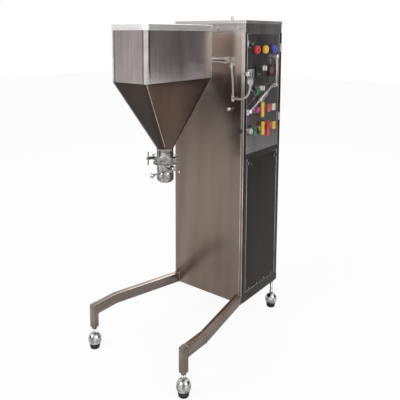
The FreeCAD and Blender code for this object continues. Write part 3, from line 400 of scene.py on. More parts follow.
def slab(bm, low, high, round_edge=0.0, finish=0, steps=2):
    """A box between two corners with its edges rounded."""
    low, high = Vector(low), Vector(high)
    made = bmesh.ops.create_cube(bm, size=1)
    for vert in made["verts"]:
        vert.co = Vector([low[i] if vert.co[i] < 0 else high[i] for i in range(3)])
    faces = {f for v in made["verts"] for f in v.link_faces}
    for face in faces:
        face.material_index = finish
    if round_edge:
        edges = list({e for v in made["verts"] for e in v.link_edges})
        bevel = bmesh.ops.bevel(bm, geom=edges, offset=round_edge, segments=steps, profile=0.5,
                                affect="EDGES")
        for face in bevel["faces"]:
            face.material_index = finish


def pipe(bm, path, radius, sides=16, finish=0, closed=False):
    """A round bar along a list of points, with its ends capped."""
    points = [Vector(p) for p in path]
    count = len(points)
    rings, side = [], None
    for i, point in enumerate(points):
        before = points[i - 1] if i or closed else point
        after = points[(i + 1) % count] if i < count - 1 or closed else point
        along = (after - before).normalized()
        if side is None:
            side = along.orthogonal().normalized()
        side = (side - along * side.dot(along)).normalized()
        other = along.cross(side)
        thick = radius[i] if isinstance(radius, (list, tuple)) else radius
        rings.append([bm.verts.new(point + (side * math.cos(t) + other * math.sin(t)) * thick)
                      for t in (2 * math.pi * k / sides for k in range(sides))])
    pairs = list(zip(rings, rings[1:])) + ([(rings[-1], rings[0])] if closed else [])
    for low, high in pairs:
        for k in range(sides):
            j = (k + 1) % sides
            bm.faces.new((low[k], low[j], high[j], high[k])).material_index = finish
    if not closed:
        bm.faces.new(rings[0]).material_index = finish
        bm.faces.new(rings[-1]).material_index = finish


def piece(name, bm, finishes, body, replaced=(), crease=35):
    """Turns built shapes into one piece that rides on a body, standing for CAD nodes where named."""
    bmesh.ops.recalc_face_normals(bm, faces=bm.faces)
    mesh = bpy.data.meshes.new(name)
    bm.to_mesh(mesh)
    bm.free()
    for finish in finishes:
        mesh.materials.append(finish)
    mesh.shade_smooth()
    mesh.set_sharp_from_angle(angle=math.radians(crease))
    made = bpy.data.objects.new(name, mesh)
    bpy.context.scene.collection.objects.link(made)
    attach(made, body)
    if replaced:
        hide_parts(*replaced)
    return made


# The corner glint strips are two thin polished bars down the front right corner that paint its highlight,
# and the seam strips are spot-welded flat bars that close it down the back.
cabinet_glint = bmesh.new()
wrapper_round, seam_inset = 0.012, 0.014
corner_hub = Vector((shell_high.x - wrapper_round, shell_low.y + wrapper_round))
glint_at = corner_hub + Vector((1, -1)).normalized() * 0.0119
for glint_x, glint_y, glint_thick in ((shell_high.x - 0.0125, shell_low.y - 0.0002, 0.0009),
                                   (*glint_at, 0.0016)):
    pipe(cabinet_glint, [(glint_x, glint_y, shell_low.z + 0.002), (glint_x, glint_y, shell_high.z - 0.002)], glint_thick,
         8)
piece("corner_beads", cabinet_glint, [bright_steel], "machine")

back_seam = bmesh.new()
for seam_x in (shell_low.x + seam_inset, shell_high.x - seam_inset):
    slab(back_seam, (seam_x - 0.009, shell_high.y - 0.0004, shell_low.z + 0.03),
         (seam_x + 0.009, shell_high.y + 0.0004, shell_high.z - 0.02), 0.0003)
piece("back_seams", back_seam, [cabinet_steel], "machine")

# ---- Base frame, legs and feet -------------------------------------------------------------------
# Each leg is a deep stainless tube that runs forward and out from the cabinet's foot to a square post,
# welded at each bend and brushed. The feet are polished bells on rubber pads, each
# with a threaded stud and a lock nut, so the machine can be levelled.

leg_steel = steel("leg_steel", (0.15, 0.115, 0.095), (0.36, 0.30, 0.265), (9, 2.5, 9), (200, 30, 200), 0.2)
weld_steel = steel("weld_steel", (0.20, 0.155, 0.12), (0.46, 0.39, 0.34), (120, 120, 120), (700, 700, 700),
                   0.3, 0.5)
dress(leg_steel, "base_frame")


def tube_run(bm, path, end_normal, half_wide, half_tall, corner, finish=0):
    """A rectangular tube with rounded corners along straight runs with mitred joints. Gives its rings."""
    points = [Vector(p) for p in path]
    along = (points[1] - points[0]).normalized()
    tall = Vector((0, 1, 0)) if abs(along.z) > 0.9 else Vector((0, 0, 1))
    ring = []
    for sx, sy, start in CORNERS:
        for step in (0, 30, 60, 90):
            angle = math.radians(start + step)
            ring.append(points[0] + Vector((1, 0,
                                            0)) * (sx * (half_wide - corner) + corner * math.cos(angle))
                        + tall * (sy * (half_tall - corner) + corner * math.sin(angle)))
    rings = [ring]
    for i in range(1, len(points)):
        along = (points[i] - points[i - 1]).normalized()
        onward = (points[i + 1] - points[i]).normalized() if i + 1 < len(points) else None
        normal = (along + onward).normalized() if onward else Vector(end_normal)
        rings.append([p + along * ((points[i] - p).dot(normal) / along.dot(normal)) for p in rings[-1]])
    made = [[bm.verts.new(p) for p in each] for each in rings]
    for low, high in zip(made, made[1:]):
        for k in range(len(low)):
            j = (k + 1) % len(low)
            bm.faces.new((low[k], low[j], high[j], high[k])).material_index = finish
    bm.faces.new(made[0]).material_index = finish
    bm.faces.new(made[-1]).material_index = finish
    return rings


tube_half, run_half, tube_corner = 0.0127, 0.020, 0.0026
leg_joint = Vector((0.1653, 0.0815, 0.149))
leg_bend_y, leg_end_z = -0.2465, 0.162
for side, sign in (("left", -1), ("right", 1)):
    leg_low, leg_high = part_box("leg_" + side)
    post_x = sign * ((leg_high.x if sign > 0 else -leg_low.x) - tube_half)
    post_y = leg_low.y + tube_half
    leg = bmesh.new()
    tube_run(leg, [(post_x, post_y, leg_low.z), (post_x, post_y, leg_end_z + run_half)], (0, 0, 1),
             tube_half, tube_half, tube_corner)
    run_rings = tube_run(leg, [(post_x, post_y + tube_half - 0.0004, leg_end_z),
                               (post_x, leg_bend_y, leg_end_z),
                               (sign * leg_joint.x, leg_joint.y, leg_joint.z)], (0, 1, 0), tube_half,
                         run_half, tube_corner)
    for weld_ring, weld_thick in zip(run_rings, (0.0014, 0.0010, 0.0021)):
        pipe(leg, weld_ring, weld_thick, 6, 1, closed=True)
    piece("leg_tube_" + side, leg, [leg_steel, weld_steel], "machine", ["leg_" + side])


def moulding_group():
    """Colour, roughness and height of moulded plastic or rubber: a faint mottle and a fine texture."""
    group, inner, outer = node_group(
        "moulded surface", "ShaderNodeTree",
        {"Base": "Color", "Mottle": "Float", "Dullness": "Float", "Texture Scale": "Float"}, SURFACE)
    place, cloud, fine, tint = new_nodes(
        group, "ShaderNodeTexCoord", "ShaderNodeTexNoise", "ShaderNodeTexNoise", "ShaderNodeVectorMath")
    fill(cloud, {"Scale": 90, "Detail": 3})
    fill(fine, {"Detail": 2})
    tint.operation = "SCALE"
    fade = math_node(group, "MULTIPLY")
    keep = math_node(group, "SUBTRACT", 1, None)
    rough = math_node(group, "MULTIPLY_ADD", None, 0.12, None)
    wire(group, (place, "Object", cloud, "Vector"), (place, "Object", fine, "Vector"),
         (inner, "Texture Scale", fine, "Scale"), (cloud, 0, fade, 0), (inner, "Mottle", fade, 1),
         (fade, 0, keep, 1), (inner, "Base", tint, 0), (keep, 0, tint, "Scale"), (tint, 0, outer, "Color"),
         (cloud, 0, rough, 0), (inner, "Dullness", rough, 2), (rough, 0, outer, "Roughness"),
         (fine, 0, outer, "Height"))
    return group


moulded_surface = moulding_group()


def moulded(name, colour, dullness=0.3, mottle=0.12, coat=0.0, texture=1400, relief=0.05):
    """A moulded plastic or rubber of one colour."""
    material, tree, shader, pattern = patterned(
        name, moulded_surface, {"Base": (*colour, 1), "Mottle": mottle, "Dullness": dullness,
                                "Texture Scale": texture}, relief)
    fill(shader, {"Coat Weight": coat})
    return material


pad_rubber = moulded("pad_rubber", (0.016, 0.015, 0.015), 0.62, 0.35, 0, 900, 0.3)
chrome = steel("chrome", (0.10, 0.090, 0.087), (0.90, 0.89, 0.88), (70, 70, 70), (500, 500, 500), 0.03,
               0.01)
feet = ("foot_front_left", "foot_front_right", "foot_rear_left", "foot_rear_right")
pads = bmesh.new()
dome_top, stud = 0.068, 0.0060
for foot_name in feet:
    foot_low, foot_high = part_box(foot_name)
    centre = ((foot_low.x + foot_high.x) / 2, (foot_low.y + foot_high.y) / 2, 0)
    bell, base = (foot_high.x - foot_low.x) / 2, foot_low.z
    outline = [(0, base), (bell * 0.84, base)]
    outline += [(bell * math.cos(math.radians(t)),
                 base + 0.015 + (dome_top - base - 0.017) * math.sin(math.radians(t)))
                for t in range(-26, 75, 5)]
    outline += [(bell * 0.26, dome_top - 0.0006), (bell * 0.26, dome_top + 0.002), (stud, dome_top + 0.002)]
    thread = dome_top + 0.003
    while thread < foot_high.z - 0.012:
        outline += [(stud, thread), (stud - 0.0007, thread + 0.0009)]
        thread += 0.0018
    outline += [(0.0058, foot_high.z), (0, foot_high.z)]
    bell_foot = bmesh.new()
    lathe(bell_foot, outline, centre, sides=48)
    piece(foot_name.replace("foot", "bell"), bell_foot, [chrome], foot_name, [foot_name],
          crease=50)
    lathe(pads, [(0, 0), (0.0172, 0), (0.0184, 0.0012), (0.0194, 0.0062), (0.0187, 0.0070),
                 (0.0203, 0.0110),
                 (0.0196, 0.0118), (0.0213, 0.0160), (0.0215, base), (0, base)], centre, sides=48)
piece("foot_rubbers", pads, [pad_rubber], "machine", ["foot_pads"], crease=50)

# ---- Control door and lower panel ----------------------------------------------------------------
# Two folded sheet pans in the right wall. The upper one carries the controls and swings on two hinges,
# and the lower one tilts out. Thin polished bars round the edges of both paint their edge highlights.

door_steel = steel("door_steel", (0.170, 0.160, 0.166), (0.400, 0.380, 0.388), (9, 9, 1.4), (300, 300, 8),
                   0.2)
panel_steel = steel("panel_steel", (0.008, 0.006, 0.005), (0.026, 0.020, 0.016), (4, 4, 1.1), (300, 300, 8),
                    0.2)
dress(door_steel, "control_door")
dress(panel_steel, "lower_panel")


def edge_highlight_bar(bm, low, high, x, thick, finish=0):
    """A rounded bar round the edge of a panel that faces +X; with a polished finish it paints the edge's
    highlight.
    """
    pipe(bm, [(x, low.y, low.z), (x, high.y, low.z), (x, high.y, high.z), (x, low.y, high.z)], thick, 8,
         finish, True)


door_low, door_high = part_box("control_door")
panel_low, panel_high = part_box("lower_panel")
face_x = door_high.x
inset = Vector((0, 0.0012, 0.0012))
door_trim = bmesh.new()
edge_highlight_bar(door_trim, door_low + inset, door_high - inset, face_x + 0.0001, 0.0011)
piece("door_trim", door_trim, [bright_steel], "control_door")
panel_trim = bmesh.new()
edge_highlight_bar(panel_trim, panel_low + inset, panel_high - inset, face_x + 0.0001, 0.0012)
piece("panel_trim", panel_trim, [bright_steel], "lower_panel")

screws("door_screws_front", "control_door", (face_x, door_low.y + 0.008, door_low.z + 0.030),
       (0, 0, (door_high.z - door_low.z - 0.060) / 3), 4, "+x", 0.0030, 0.0015)
screws("panel_screws_low", "lower_panel", (face_x, panel_low.y + 0.030, panel_low.z + 0.010),
       (0, (panel_high.y - panel_low.y - 0.060) / 3, 0), 4, "+x", 0.0030, 0.0015)

# ---- Door hinges ---------------------------------------------------------------------------------
# Lift-off hinges of cast steel: the wall's leaf carries the pin, the door's leaf drops over it,
# and each leaf is held by two countersunk screws.

hinge_steel = steel("hinge_steel", (0.26, 0.24, 0.235), (0.62, 0.59, 0.58), (30, 30, 30), (400, 400, 400),
                    0.25, 0.08)
dress(hinge_steel, "hinge_wall_leaves", "hinge_door_leaves")
leaf_low, leaf_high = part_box("hinge_door_leaves")
wall_leaf_low, wall_leaf_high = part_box("hinge_wall_leaves")
for hinge_name, hinge_z in (("upper", leaf_high.z - 0.017), ("lower", wall_leaf_low.z + 0.017)):
    screws("hinge_screws_door_" + hinge_name, "control_door",
           (face_x + 0.0017, leaf_low.y + 0.0042, hinge_z + 0.005),
           (0, 0, 0.009), 2, "+x", 0.0021, 0.0009)
    screws("hinge_screws_wall_" + hinge_name, "machine",
           (face_x + 0.0017, wall_leaf_high.y - 0.0042, hinge_z - 0.013),
           (0, 0, 0.009), 2, "+x", 0.0021, 0.0009)


def rib_tree():
    """A ring of small ribs round an axis: knurls, flutes and the ticks of a dial."""
    tree, inner, outer = node_group(
        "ring of ribs", "GeometryNodeTree",
        {"Count": "Int", "Radius": "Float", "Rib Size": "Vector", "Centre": "Vector", "Turn": "Rotation",
         "Finish": "Material"}, {"Geometry": "Geometry"})
    ring, rib, number, about_z, face_out, put, set_down, solid, finish = new_nodes(
        tree, "GeometryNodeMeshCircle", "GeometryNodeMeshCube", "GeometryNodeInputIndex",
        "ShaderNodeCombineXYZ",
        "FunctionNodeEulerToRotation", "GeometryNodeInstanceOnPoints", "GeometryNodeTransform",
        "GeometryNodeRealizeInstances", "GeometryNodeSetMaterial")
    share_of_turn = math_node(tree, "DIVIDE", 2 * math.pi, None)
    angle = math_node(tree, "MULTIPLY")
    wire(tree, (inner, "Count", ring, "Vertices"), (inner, "Radius", ring, "Radius"),
         (inner, "Rib Size", rib, "Size"), (inner, "Count", share_of_turn, 1), (number, 0, angle, 0),
         (share_of_turn, 0, angle, 1), (angle, 0, about_z, "Z"), (about_z, 0, face_out, 0),
         (face_out, 0, put, "Rotation"), (ring, "Mesh", put, "Points"), (rib, "Mesh", put, "Instance"),
         (put, 0, solid, 0), (solid, 0, set_down, "Geometry"), (inner, "Centre", set_down, "Translation"),
         (inner, "Turn", set_down, "Rotation"), (set_down, 0, finish, "Geometry"),
         (inner, "Finish", finish, "Material"), (finish, 0, outer, 0))
    return tree


ring_of_ribs = rib_tree()


def ribs(name, body, slot, centre, facing, count, radius, size, finish):
    """A ring of ribs round an axis; the size is radial, round the ring and along the axis."""
    return grown(name, ring_of_ribs, body, slot, count=count, radius=radius, rib_size=size, centre=centre,
                 turn=FACING[facing], finish=finish)


# ---- Panel latches -------------------------------------------------------------------------------
# Quarter-turn knobs: a dark fluted grip on a chrome rose, with a tongue behind that catches the wall.

knob_black = moulded("knob_black", (0.020, 0.019, 0.019), 0.35, 0.25)
for latch_name in ("latch_front", "latch_rear"):
    latch_low, latch_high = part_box(latch_name)
    latch_y, latch_z = latch_low.y + 0.018, latch_low.z + (latch_high.z - latch_low.z) / 2
    knob = bmesh.new()
    lathe(knob, mm((0, -8), (5.8, -8), (5.8, 0), (8.8, 0), (9, 0.8), (8.4, 2), (0, 2)),
          (face_x, latch_y, latch_z), "x", 36, 1)
    lathe(knob, mm((0, 1.5), (7.4, 1.8), (7.8, 3), (7.6, 7.2), (6, 8.8), (0, 9)),
          (face_x, latch_y, latch_z), "x", 36, 0)
    slab(knob, (face_x - 0.010, latch_y - 0.018, latch_z - 0.005),
         (face_x - 0.007, latch_y + 0.006, latch_z + 0.005),
         0.0008, 1)
    piece(latch_name + "_knob", knob, [knob_black, chrome], latch_name, [latch_name])
    ribs(latch_name + "_flutes", latch_name, "black_plastic", (face_x + 0.0050, latch_y, latch_z), "+x", 18,
         0.0078,
         (0.0012, 0.0013, 0.0042), knob_black)

# ---- Lamps, buttons, switches and meters ---------------------------------------------------------
# Standard 22 mm pilot devices. Each has a chrome bezel clamped to the door, a black barrel behind, and
# a moulded cap, lens or grip in front. The two square meters have black frames and glazed faces.

barrel_black = moulded("barrel_black", (0.022, 0.022, 0.024), 0.4, 0.2)
label_white = moulded("label_white", (0.78, 0.77, 0.74), 0.4, 0.06)
# The white cap's mid-grey tone is painted shade on a white cap.
cap_tones = {"red": (0.62, 0.025, 0.03), "yellow": (0.86, 0.52, 0.03), "blue": (0.03, 0.07, 0.50),
             "green": (0.015, 0.17, 0.06), "violet": (0.50, 0.04, 0.30), "pink": (0.62, 0.10, 0.13),
             "white": (0.50, 0.49, 0.47), "amber": (0.88, 0.50, 0.07), "pale": (0.80, 0.74, 0.50)}
cap_finish = {tone: moulded("cap_" + tone, rgb, 0.22, 0.10, 0.35) for tone, rgb in cap_tones.items()}


def middle(name):
    """The middle of a node's box on the door's face, as (y, z)."""
    low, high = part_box(name)
    return (low.y + high.y) / 2, (low.z + high.z) / 2


BUTTONS = {"button_start_green": "green", "button_mode_violet": "violet", "button_pink": "pink",
           "button_white": "white", "button_green": "green", "button_yellow": "yellow", "button_red": "red",
           "button_amber_tall": "amber", "button_square_pale": "pale", "button_square_yellow": "yellow"}
SLOTS = {"green": "green_plastic", "violet": "violet_plastic", "pink": "pink_plastic",
         "white": "white_plastic",
         "yellow": "yellow_plastic", "red": "red_plastic", "amber": "amber_plastic", "pale": "pale_plastic",
         "blue": "blue_plastic"}
PADDLES = ("button_amber_tall", "button_pink", "button_square_pale", "button_green", "button_yellow",
           "button_red",
           "button_square_yellow")
SWITCHES = ("switch_main", "switch_fill", "switch_cycle", "switch_speed")
LAMPS = {"lamp_red": "red", "lamp_yellow": "yellow", "lamp_blue": "blue"}

DEVICES = {name: middle(name) for name in list(BUTTONS) + list(SWITCHES)}
for paddle, shank_rise in (("button_amber_tall", 0.001), ("button_green", 0.004), ("button_red", 0.006)):
    DEVICES[paddle] = (DEVICES[paddle][0], DEVICES[paddle][1] + shank_rise)

bezels = bmesh.new()
for device_y, device_z in DEVICES.values():
    lathe(bezels, mm((9.2, -16), (11, -16), (11, 0), (12.8, 0.1), (13, 1), (12.9, 3.6), (12.1, 4.8),
                     (10.8, 5), (9.8, 4.4), (9.2, 4)), (face_x, device_y, device_z), "x", 40, 0)
    lathe(bezels, mm((0, -40), (10.4, -40), (10.8, -39), (10.8, -16.2), (0, -16.2)),
          (face_x, device_y, device_z), "x", 24, 1)
for device in LAMPS:
    device_y, device_z = middle(device)
    lathe(bezels, mm((0, -40), (10.4, -40), (10.8, -39), (10.8, 0), (19.2, 0.1), (19.5, 1), (19.3, 3.8),
                     (18.4, 4.9), (17.2, 5), (0, 5)), (face_x, device_y, device_z), "x", 40, 1)
piece("device_bezels", bezels, [chrome, barrel_black], "control_door", ["device_bodies"])

for lamp_name, tone in LAMPS.items():
    lamp_y, lamp_z = middle(lamp_name)
    lens = bmesh.new()
    lathe(lens, mm((0, 5.1), (16.8, 5.1), (17, 11), (16.4, 12.4), (16.3, 14), (14.8, 16.4), (12, 18.5),
                   (7.5, 19.7), (0, 20)), (face_x, lamp_y, lamp_z), "x", 40)
    piece(lamp_name + "_lens", lens, [cap_finish[tone]], "control_door", [lamp_name])
    ribs(lamp_name + "_ridges", "control_door", SLOTS[tone], (face_x + 0.0080, lamp_y, lamp_z), "+x", 36,
         0.0168,
         (0.0006, 0.0012, 0.0050), cap_finish[tone])

for button, tone in BUTTONS.items():
    head_low, head_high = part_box(button)
    front, head_back = head_high.x - face_x, 0.0094
    device_y, device_z = DEVICES[button]
    cap, at = bmesh.new(), (face_x, device_y, device_z)
    head = (head_high.y - head_low.y) / 2
    if button in PADDLES:
        lathe(cap, [(0, -0.011), (0.0088, -0.011), (0.0088, head_back + 0.002), (0, head_back + 0.002)], at,
              "x", 32)
        slab(cap, (face_x + head_back, head_low.y, head_low.z), (head_high.x, head_high.y, head_high.z),
             0.0022, steps=4)
        slab(cap, (head_high.x - 0.0004, head_low.y + 0.004, device_z - 0.0006),
             (head_high.x, head_high.y - 0.004, device_z + 0.0006), 0.0001, 1, 1)
    else:
        lathe(cap, [(0, -0.011), (0.0090, -0.011), (0.0090, head_back), (head - 0.0006, head_back),
                    (head, head_back + 0.0008), (head, front - 0.0020), (head - 0.0005, front - 0.0007),
                    (head - 0.0015, front), (head - 0.0030, front - 0.0003), (0.0050, front - 0.0013),
                    (0, front - 0.0015)], at, "x", 44)
    piece(button + "_cap", cap, [cap_finish[tone], barrel_black], button, [button])

for switch in SWITCHES:
    switch_y, switch_z = middle(switch)
    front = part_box(switch)[1].x - face_x
    grip = bmesh.new()
    lathe(grip, mm((0, -11), (8.8, -11), (9, 5.2), (8.6, 6.4), (0, 6.8)), (face_x, switch_y, switch_z), "x",
          40, 0)
    slab(grip, (face_x + 0.0055, switch_y - 0.0030, switch_z - 0.0096),
         (face_x + front - 0.0004, switch_y + 0.0030, switch_z + 0.0096), 0.0012, 0, 3)
    slab(grip, (face_x + front - 0.0006, switch_y - 0.0008, switch_z + 0.0005),
         (face_x + front, switch_y + 0.0008, switch_z + 0.0088), 0.0002, 1, 1)
    grip_finish = label_white if switch in ("switch_cycle", "switch_speed") else barrel_black
    piece(switch + "_grip", grip, [grip_finish, label_white], switch, [switch])

meter_glass = moulded("meter_glass", (0.015, 0.017, 0.020), 0.06, 0.1, 0.6, 200, 0.0)
meter_maroon = moulded("meter_maroon", (0.075, 0.016, 0.018), 0.3, 0.2, 0.3)
dial_grey = moulded("dial_grey", (0.16, 0.12, 0.11), 0.4, 0.06)
for meter, case_finish in (("meter_counter", barrel_black), ("meter_timer", meter_maroon)):
    meter_low, meter_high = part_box(meter)
    meter_y, meter_z = middle(meter)
    reach, half_y, half_z = meter_high.x, (meter_high.y - meter_low.y) / 2, (meter_high.z - meter_low.z) / 2
    case = bmesh.new()
    slab(case, (meter_low.x, meter_low.y + 0.003, meter_low.z + 0.003),
         (face_x, meter_high.y - 0.003, meter_high.z - 0.003), 0.001, 0, 1)
    slab(case, (face_x, meter_low.y, meter_low.z), (reach - 0.002, meter_high.y, meter_high.z), 0.0016, 0,
         3)
    for low_y, high_y, low_z, high_z in ((-half_y, half_y, half_z - 0.005, half_z),
                                         (-half_y, half_y, -half_z, 0.005 - half_z),
                                         (-half_y, 0.005 - half_y, -half_z, half_z),
                                         (half_y - 0.005, half_y, -half_z, half_z)):
        slab(case, (reach - 0.004, meter_y + low_y, meter_z + low_z),
             (reach, meter_y + high_y, meter_z + high_z),
             0.0012, 0, 2)
    if meter == "meter_counter":
        slab(case, (reach - 0.0028, meter_y - 0.014, meter_z + 0.001),
             (reach - 0.0014, meter_y + 0.014, meter_z + 0.015),
             0.0004, 1, 1)
        for k in range(3):
            slab(case, (reach - 0.0026, meter_y - 0.013 + 0.0095 * k, meter_z - 0.016),
                 (reach - 0.0008, meter_y - 0.006 + 0.0095 * k, meter_z - 0.009), 0.0006, 2, 2)
    else:
        lathe(case, mm((0, -2.8), (15.5, -2.8), (15.5, -1.6), (0, -1.6)), (reach, meter_y, meter_z), "x",
              40, 2)
        lathe(case, mm((0, -1.6), (4, -1.6), (3.6, -0.4), (0, -0.3)), (reach, meter_y, meter_z), "x", 28, 0)
        slab(case, (reach - 0.0016, meter_y - 0.0006, meter_z),
             (reach - 0.0010, meter_y + 0.0006, meter_z + 0.0125),
             0.0002, 0, 1)
    piece(meter + "_face", case, [case_finish, meter_glass, dial_grey], "control_door",
          [meter])
timer_y, timer_z = middle("meter_timer")
ribs("timer_ticks", "control_door", "dark_case", (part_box("meter_timer")[1].x - 0.0015, timer_y, timer_z),
     "+x", 24,
     0.0136, (0.0022, 0.0004, 0.0003), barrel_black)

# ---- Guard bar -----------------------------------------------------------------------------------
# A polished hand bar on the door: an upright with ball joints on studs, and a sloping bar with a sleeve
# that runs down to the door's front edge.

upright_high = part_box("guard_upright")[1]
bar_thick, guard_off, knee_z = 0.006, 0.013, 1.032
guard_x = face_x + guard_off
top_joint = Vector((guard_x, upright_high.y - bar_thick * 1.7, upright_high.z - bar_thick * 1.7))
knee = Vector((guard_x, top_joint.y, knee_z))
turn = Vector((guard_x, top_joint.y - 0.027, knee.z))
front_joint = Vector((guard_x, 0.1055, 0.940))


def ball_profile(radius, steps=10):
    """Half a circle of (radius, height) pairs for a turned ball."""
    return [(radius * math.sin(math.pi * k / steps), -radius * math.cos(math.pi * k / steps))
            for k in range(steps + 1)]


def rose(bm, at, radius, finish=0):
    """A stud on the door with a shouldered rose where it meets the sheet."""
    lathe(bm, [(0, 0.0), (radius * 1.6, 0.0), (radius * 1.6, 0.0022), (radius * 1.35, 0.0030),
               (radius * 0.82, 0.0032),
               (radius * 0.80, at.x - face_x), (0, at.x - face_x)], (face_x, at.y, at.z), "x", 28, finish)


upright = bmesh.new()
pipe(upright, [top_joint, top_joint.lerp(knee, 0.5), knee], bar_thick, 20)
lathe(upright, ball_profile(bar_thick * 1.68), top_joint, "z", 28)
lathe(upright, ball_profile(bar_thick * 1.28), knee, "z", 28)
pipe(upright, [knee, turn + Vector((0, 0.005, 0))], bar_thick * 0.98, 20)
for collar in (0.25, 0.3, 0.82):
    lathe(upright, [(bar_thick * 0.9, -0.002), (bar_thick * 1.18, -0.0016), (bar_thick * 1.18, 0.0016),
                    (bar_thick * 0.9, 0.002)], top_joint.lerp(knee, collar), "z", 24)
rose(upright, top_joint, bar_thick)
piece("guard_upright_bar", upright, [bright_steel], "control_door", ["guard_upright"],
      crease=45)

sloping = bmesh.new()
bar_end = front_joint + (front_joint - turn).normalized() * 0.020
pipe(sloping, [turn + Vector((0, -0.004, 0)), front_joint, bar_end], bar_thick * 0.8, 20)
lathe(sloping, [(0, -0.006), (bar_thick * 1.4, -0.006), (bar_thick * 1.5, -0.0045),
                (bar_thick * 1.5, 0.0045),
                (bar_thick * 1.4, 0.006), (0, 0.006)], turn, "y", 28)
pipe(sloping, [turn.lerp(front_joint, t) for t in (0.30, 0.31, 0.32, 0.58, 0.59, 0.60)],
     [bar_thick * k for k in (0.85, 1.35, 1.5, 1.5, 1.35, 0.85)], 24)
lathe(sloping, ball_profile(bar_thick * 1.58), front_joint, "z", 28)
rose(sloping, front_joint, bar_thick)
piece("guard_sloping_rod", sloping, [bright_steel], "control_door", ["guard_sloping_bar"],
      crease=45)

# ---- Hopper and its bracket ----------------------------------------------------------------------
# An open bin of 2 mm polished sheet: straight sides above a fold, a four-sided taper welded up its
# corners below, and a rolled rim. It bolts to two arms on a cross bar at the cabinet's front.

# Its right-facing sides carry a faint cool painted shade.
hopper_steel = steel("hopper_steel", (0.50, 0.44, 0.43), (0.99, 0.92, 0.91), (6, 5, 1.5), (120, 120, 5),
                     0.17, 0.01,
                     right=(0.97, 1.0, 1.0))
# The rim's near-white tones paint the highlight that runs along it.
rim_steel = steel("rim_steel", (0.80, 0.78, 0.77), (1.0, 1.0, 1.0), (9, 9, 9), (300, 300, 300), 0.34, 0.02)
# The taper's dark brown tones paint the shade on the down-facing part of the same polished sheet, and its
# front tint paints the front faces darker still.
taper_steel = steel("taper_steel", (0.046, 0.030, 0.022), (0.150, 0.098, 0.074), (6, 6, 1.2),
                    (220, 220, 10), 0.13,
                    front=(0.42, 0.48, 0.50))
hopper_low, hopper_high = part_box("hopper_bin")
hopper_x, hopper_y = (hopper_low.x + hopper_high.x) / 2, (hopper_low.y + hopper_high.y) / 2
rim_out, rim_drop, wall, strip = 0.003, 0.022, 0.002, 0.008
half_wide, half_long = hopper_high.x - hopper_x - rim_out, hopper_high.y - hopper_y - rim_out
fold_z, neck_half, corner_round = 1.077, 0.03175, 0.012


def hopper_ring(bm, half_x, half_y, corner, z):
    """A ring of points round a rounded rectangle, in the same order at every height."""
    ring = []
    for sx, sy, start in CORNERS:
        hub = Vector((hopper_x + sx * (half_x - corner), hopper_y + sy * (half_y - corner), z))
        arc = [hub + Vector((math.cos(math.radians(start + t)), math.sin(math.radians(start + t)),
                             0)) * corner
               for t in range(0, 91, 15)]
        flat = min(strip, max(0.0004, half_x - corner))
        before = arc[0] - Vector((-math.sin(math.radians(start)), math.cos(math.radians(start)), 0)) * flat
        after = arc[-1] + Vector((-math.sin(math.radians(start + 90)), math.cos(math.radians(start + 90)),
                                  0)) * flat
        ring += [bm.verts.new(p) for p in [before] + arc + [after]]
    return ring


bin_sheet = bmesh.new()
STRAIGHT, TAPER, GLINT, INSIDE, RIM = range(5)
points_per_corner = 9
outline = [(hopper_low.z, neck_half, neck_half, neck_half - 0.0005, TAPER)]
for share in (0.25, 0.5, 0.75, 1.0):
    outline.append((hopper_low.z + (fold_z - hopper_low.z) * share,
                    neck_half + (half_wide - neck_half) * share,
                    neck_half + (half_long - neck_half) * share,
                    neck_half - 0.0005 + (corner_round - neck_half + 0.0005) * share,
                    STRAIGHT if share == 1 else TAPER))
rim_low = hopper_high.z - rim_drop
outline += [(z, half_wide + out, half_long + out, corner_round + out, RIM)
            for z, out in ((rim_low, 0), (rim_low, 0.0022), (rim_low + 0.0012, rim_out),
                           (hopper_high.z - 0.0018, rim_out), (hopper_high.z - 0.0004, rim_out - 0.001),
                           (hopper_high.z, rim_out - 0.0022))]
outline += [(hopper_high.z, half_wide - wall + 0.0006, half_long - wall + 0.0006, corner_round - wall, RIM),
            (hopper_high.z - 0.0010, half_wide - wall, half_long - wall, corner_round - wall, INSIDE),
            (fold_z, half_wide - wall, half_long - wall, corner_round - wall, INSIDE),
            (hopper_low.z, neck_half - wall, neck_half - wall, neck_half - wall - 0.0005, INSIDE)]
bin_rings = [hopper_ring(bin_sheet, half_x, half_y, corner, z) for z, half_x, half_y, corner, _ in outline]
for (*_, finish), low_ring, high_ring in zip(outline, bin_rings, bin_rings[1:] + bin_rings[:1]):
    for k in range(len(low_ring)):
        j = (k + 1) % len(low_ring)
        # The rounded corners of the straight sides take the polished finish, which paints their highlights.
        corner_glint_face = finish == STRAIGHT and k % points_per_corner != points_per_corner - 1
        face = bin_sheet.faces.new((low_ring[k], low_ring[j], high_ring[j], high_ring[k]))
        face.material_index = GLINT if corner_glint_face else finish
# The inside of the bin takes darker tones than the same sheet outside: painted shade.
inside_steel = steel("inside_steel", (0.18, 0.165, 0.155), (0.38, 0.36, 0.34), (5, 5, 5), (150, 150, 150),
                     0.28)
piece("hopper_sheet", bin_sheet, [hopper_steel, taper_steel, bright_steel, inside_steel, rim_steel],
      "machine",
      ["hopper_bin"], crease=20)

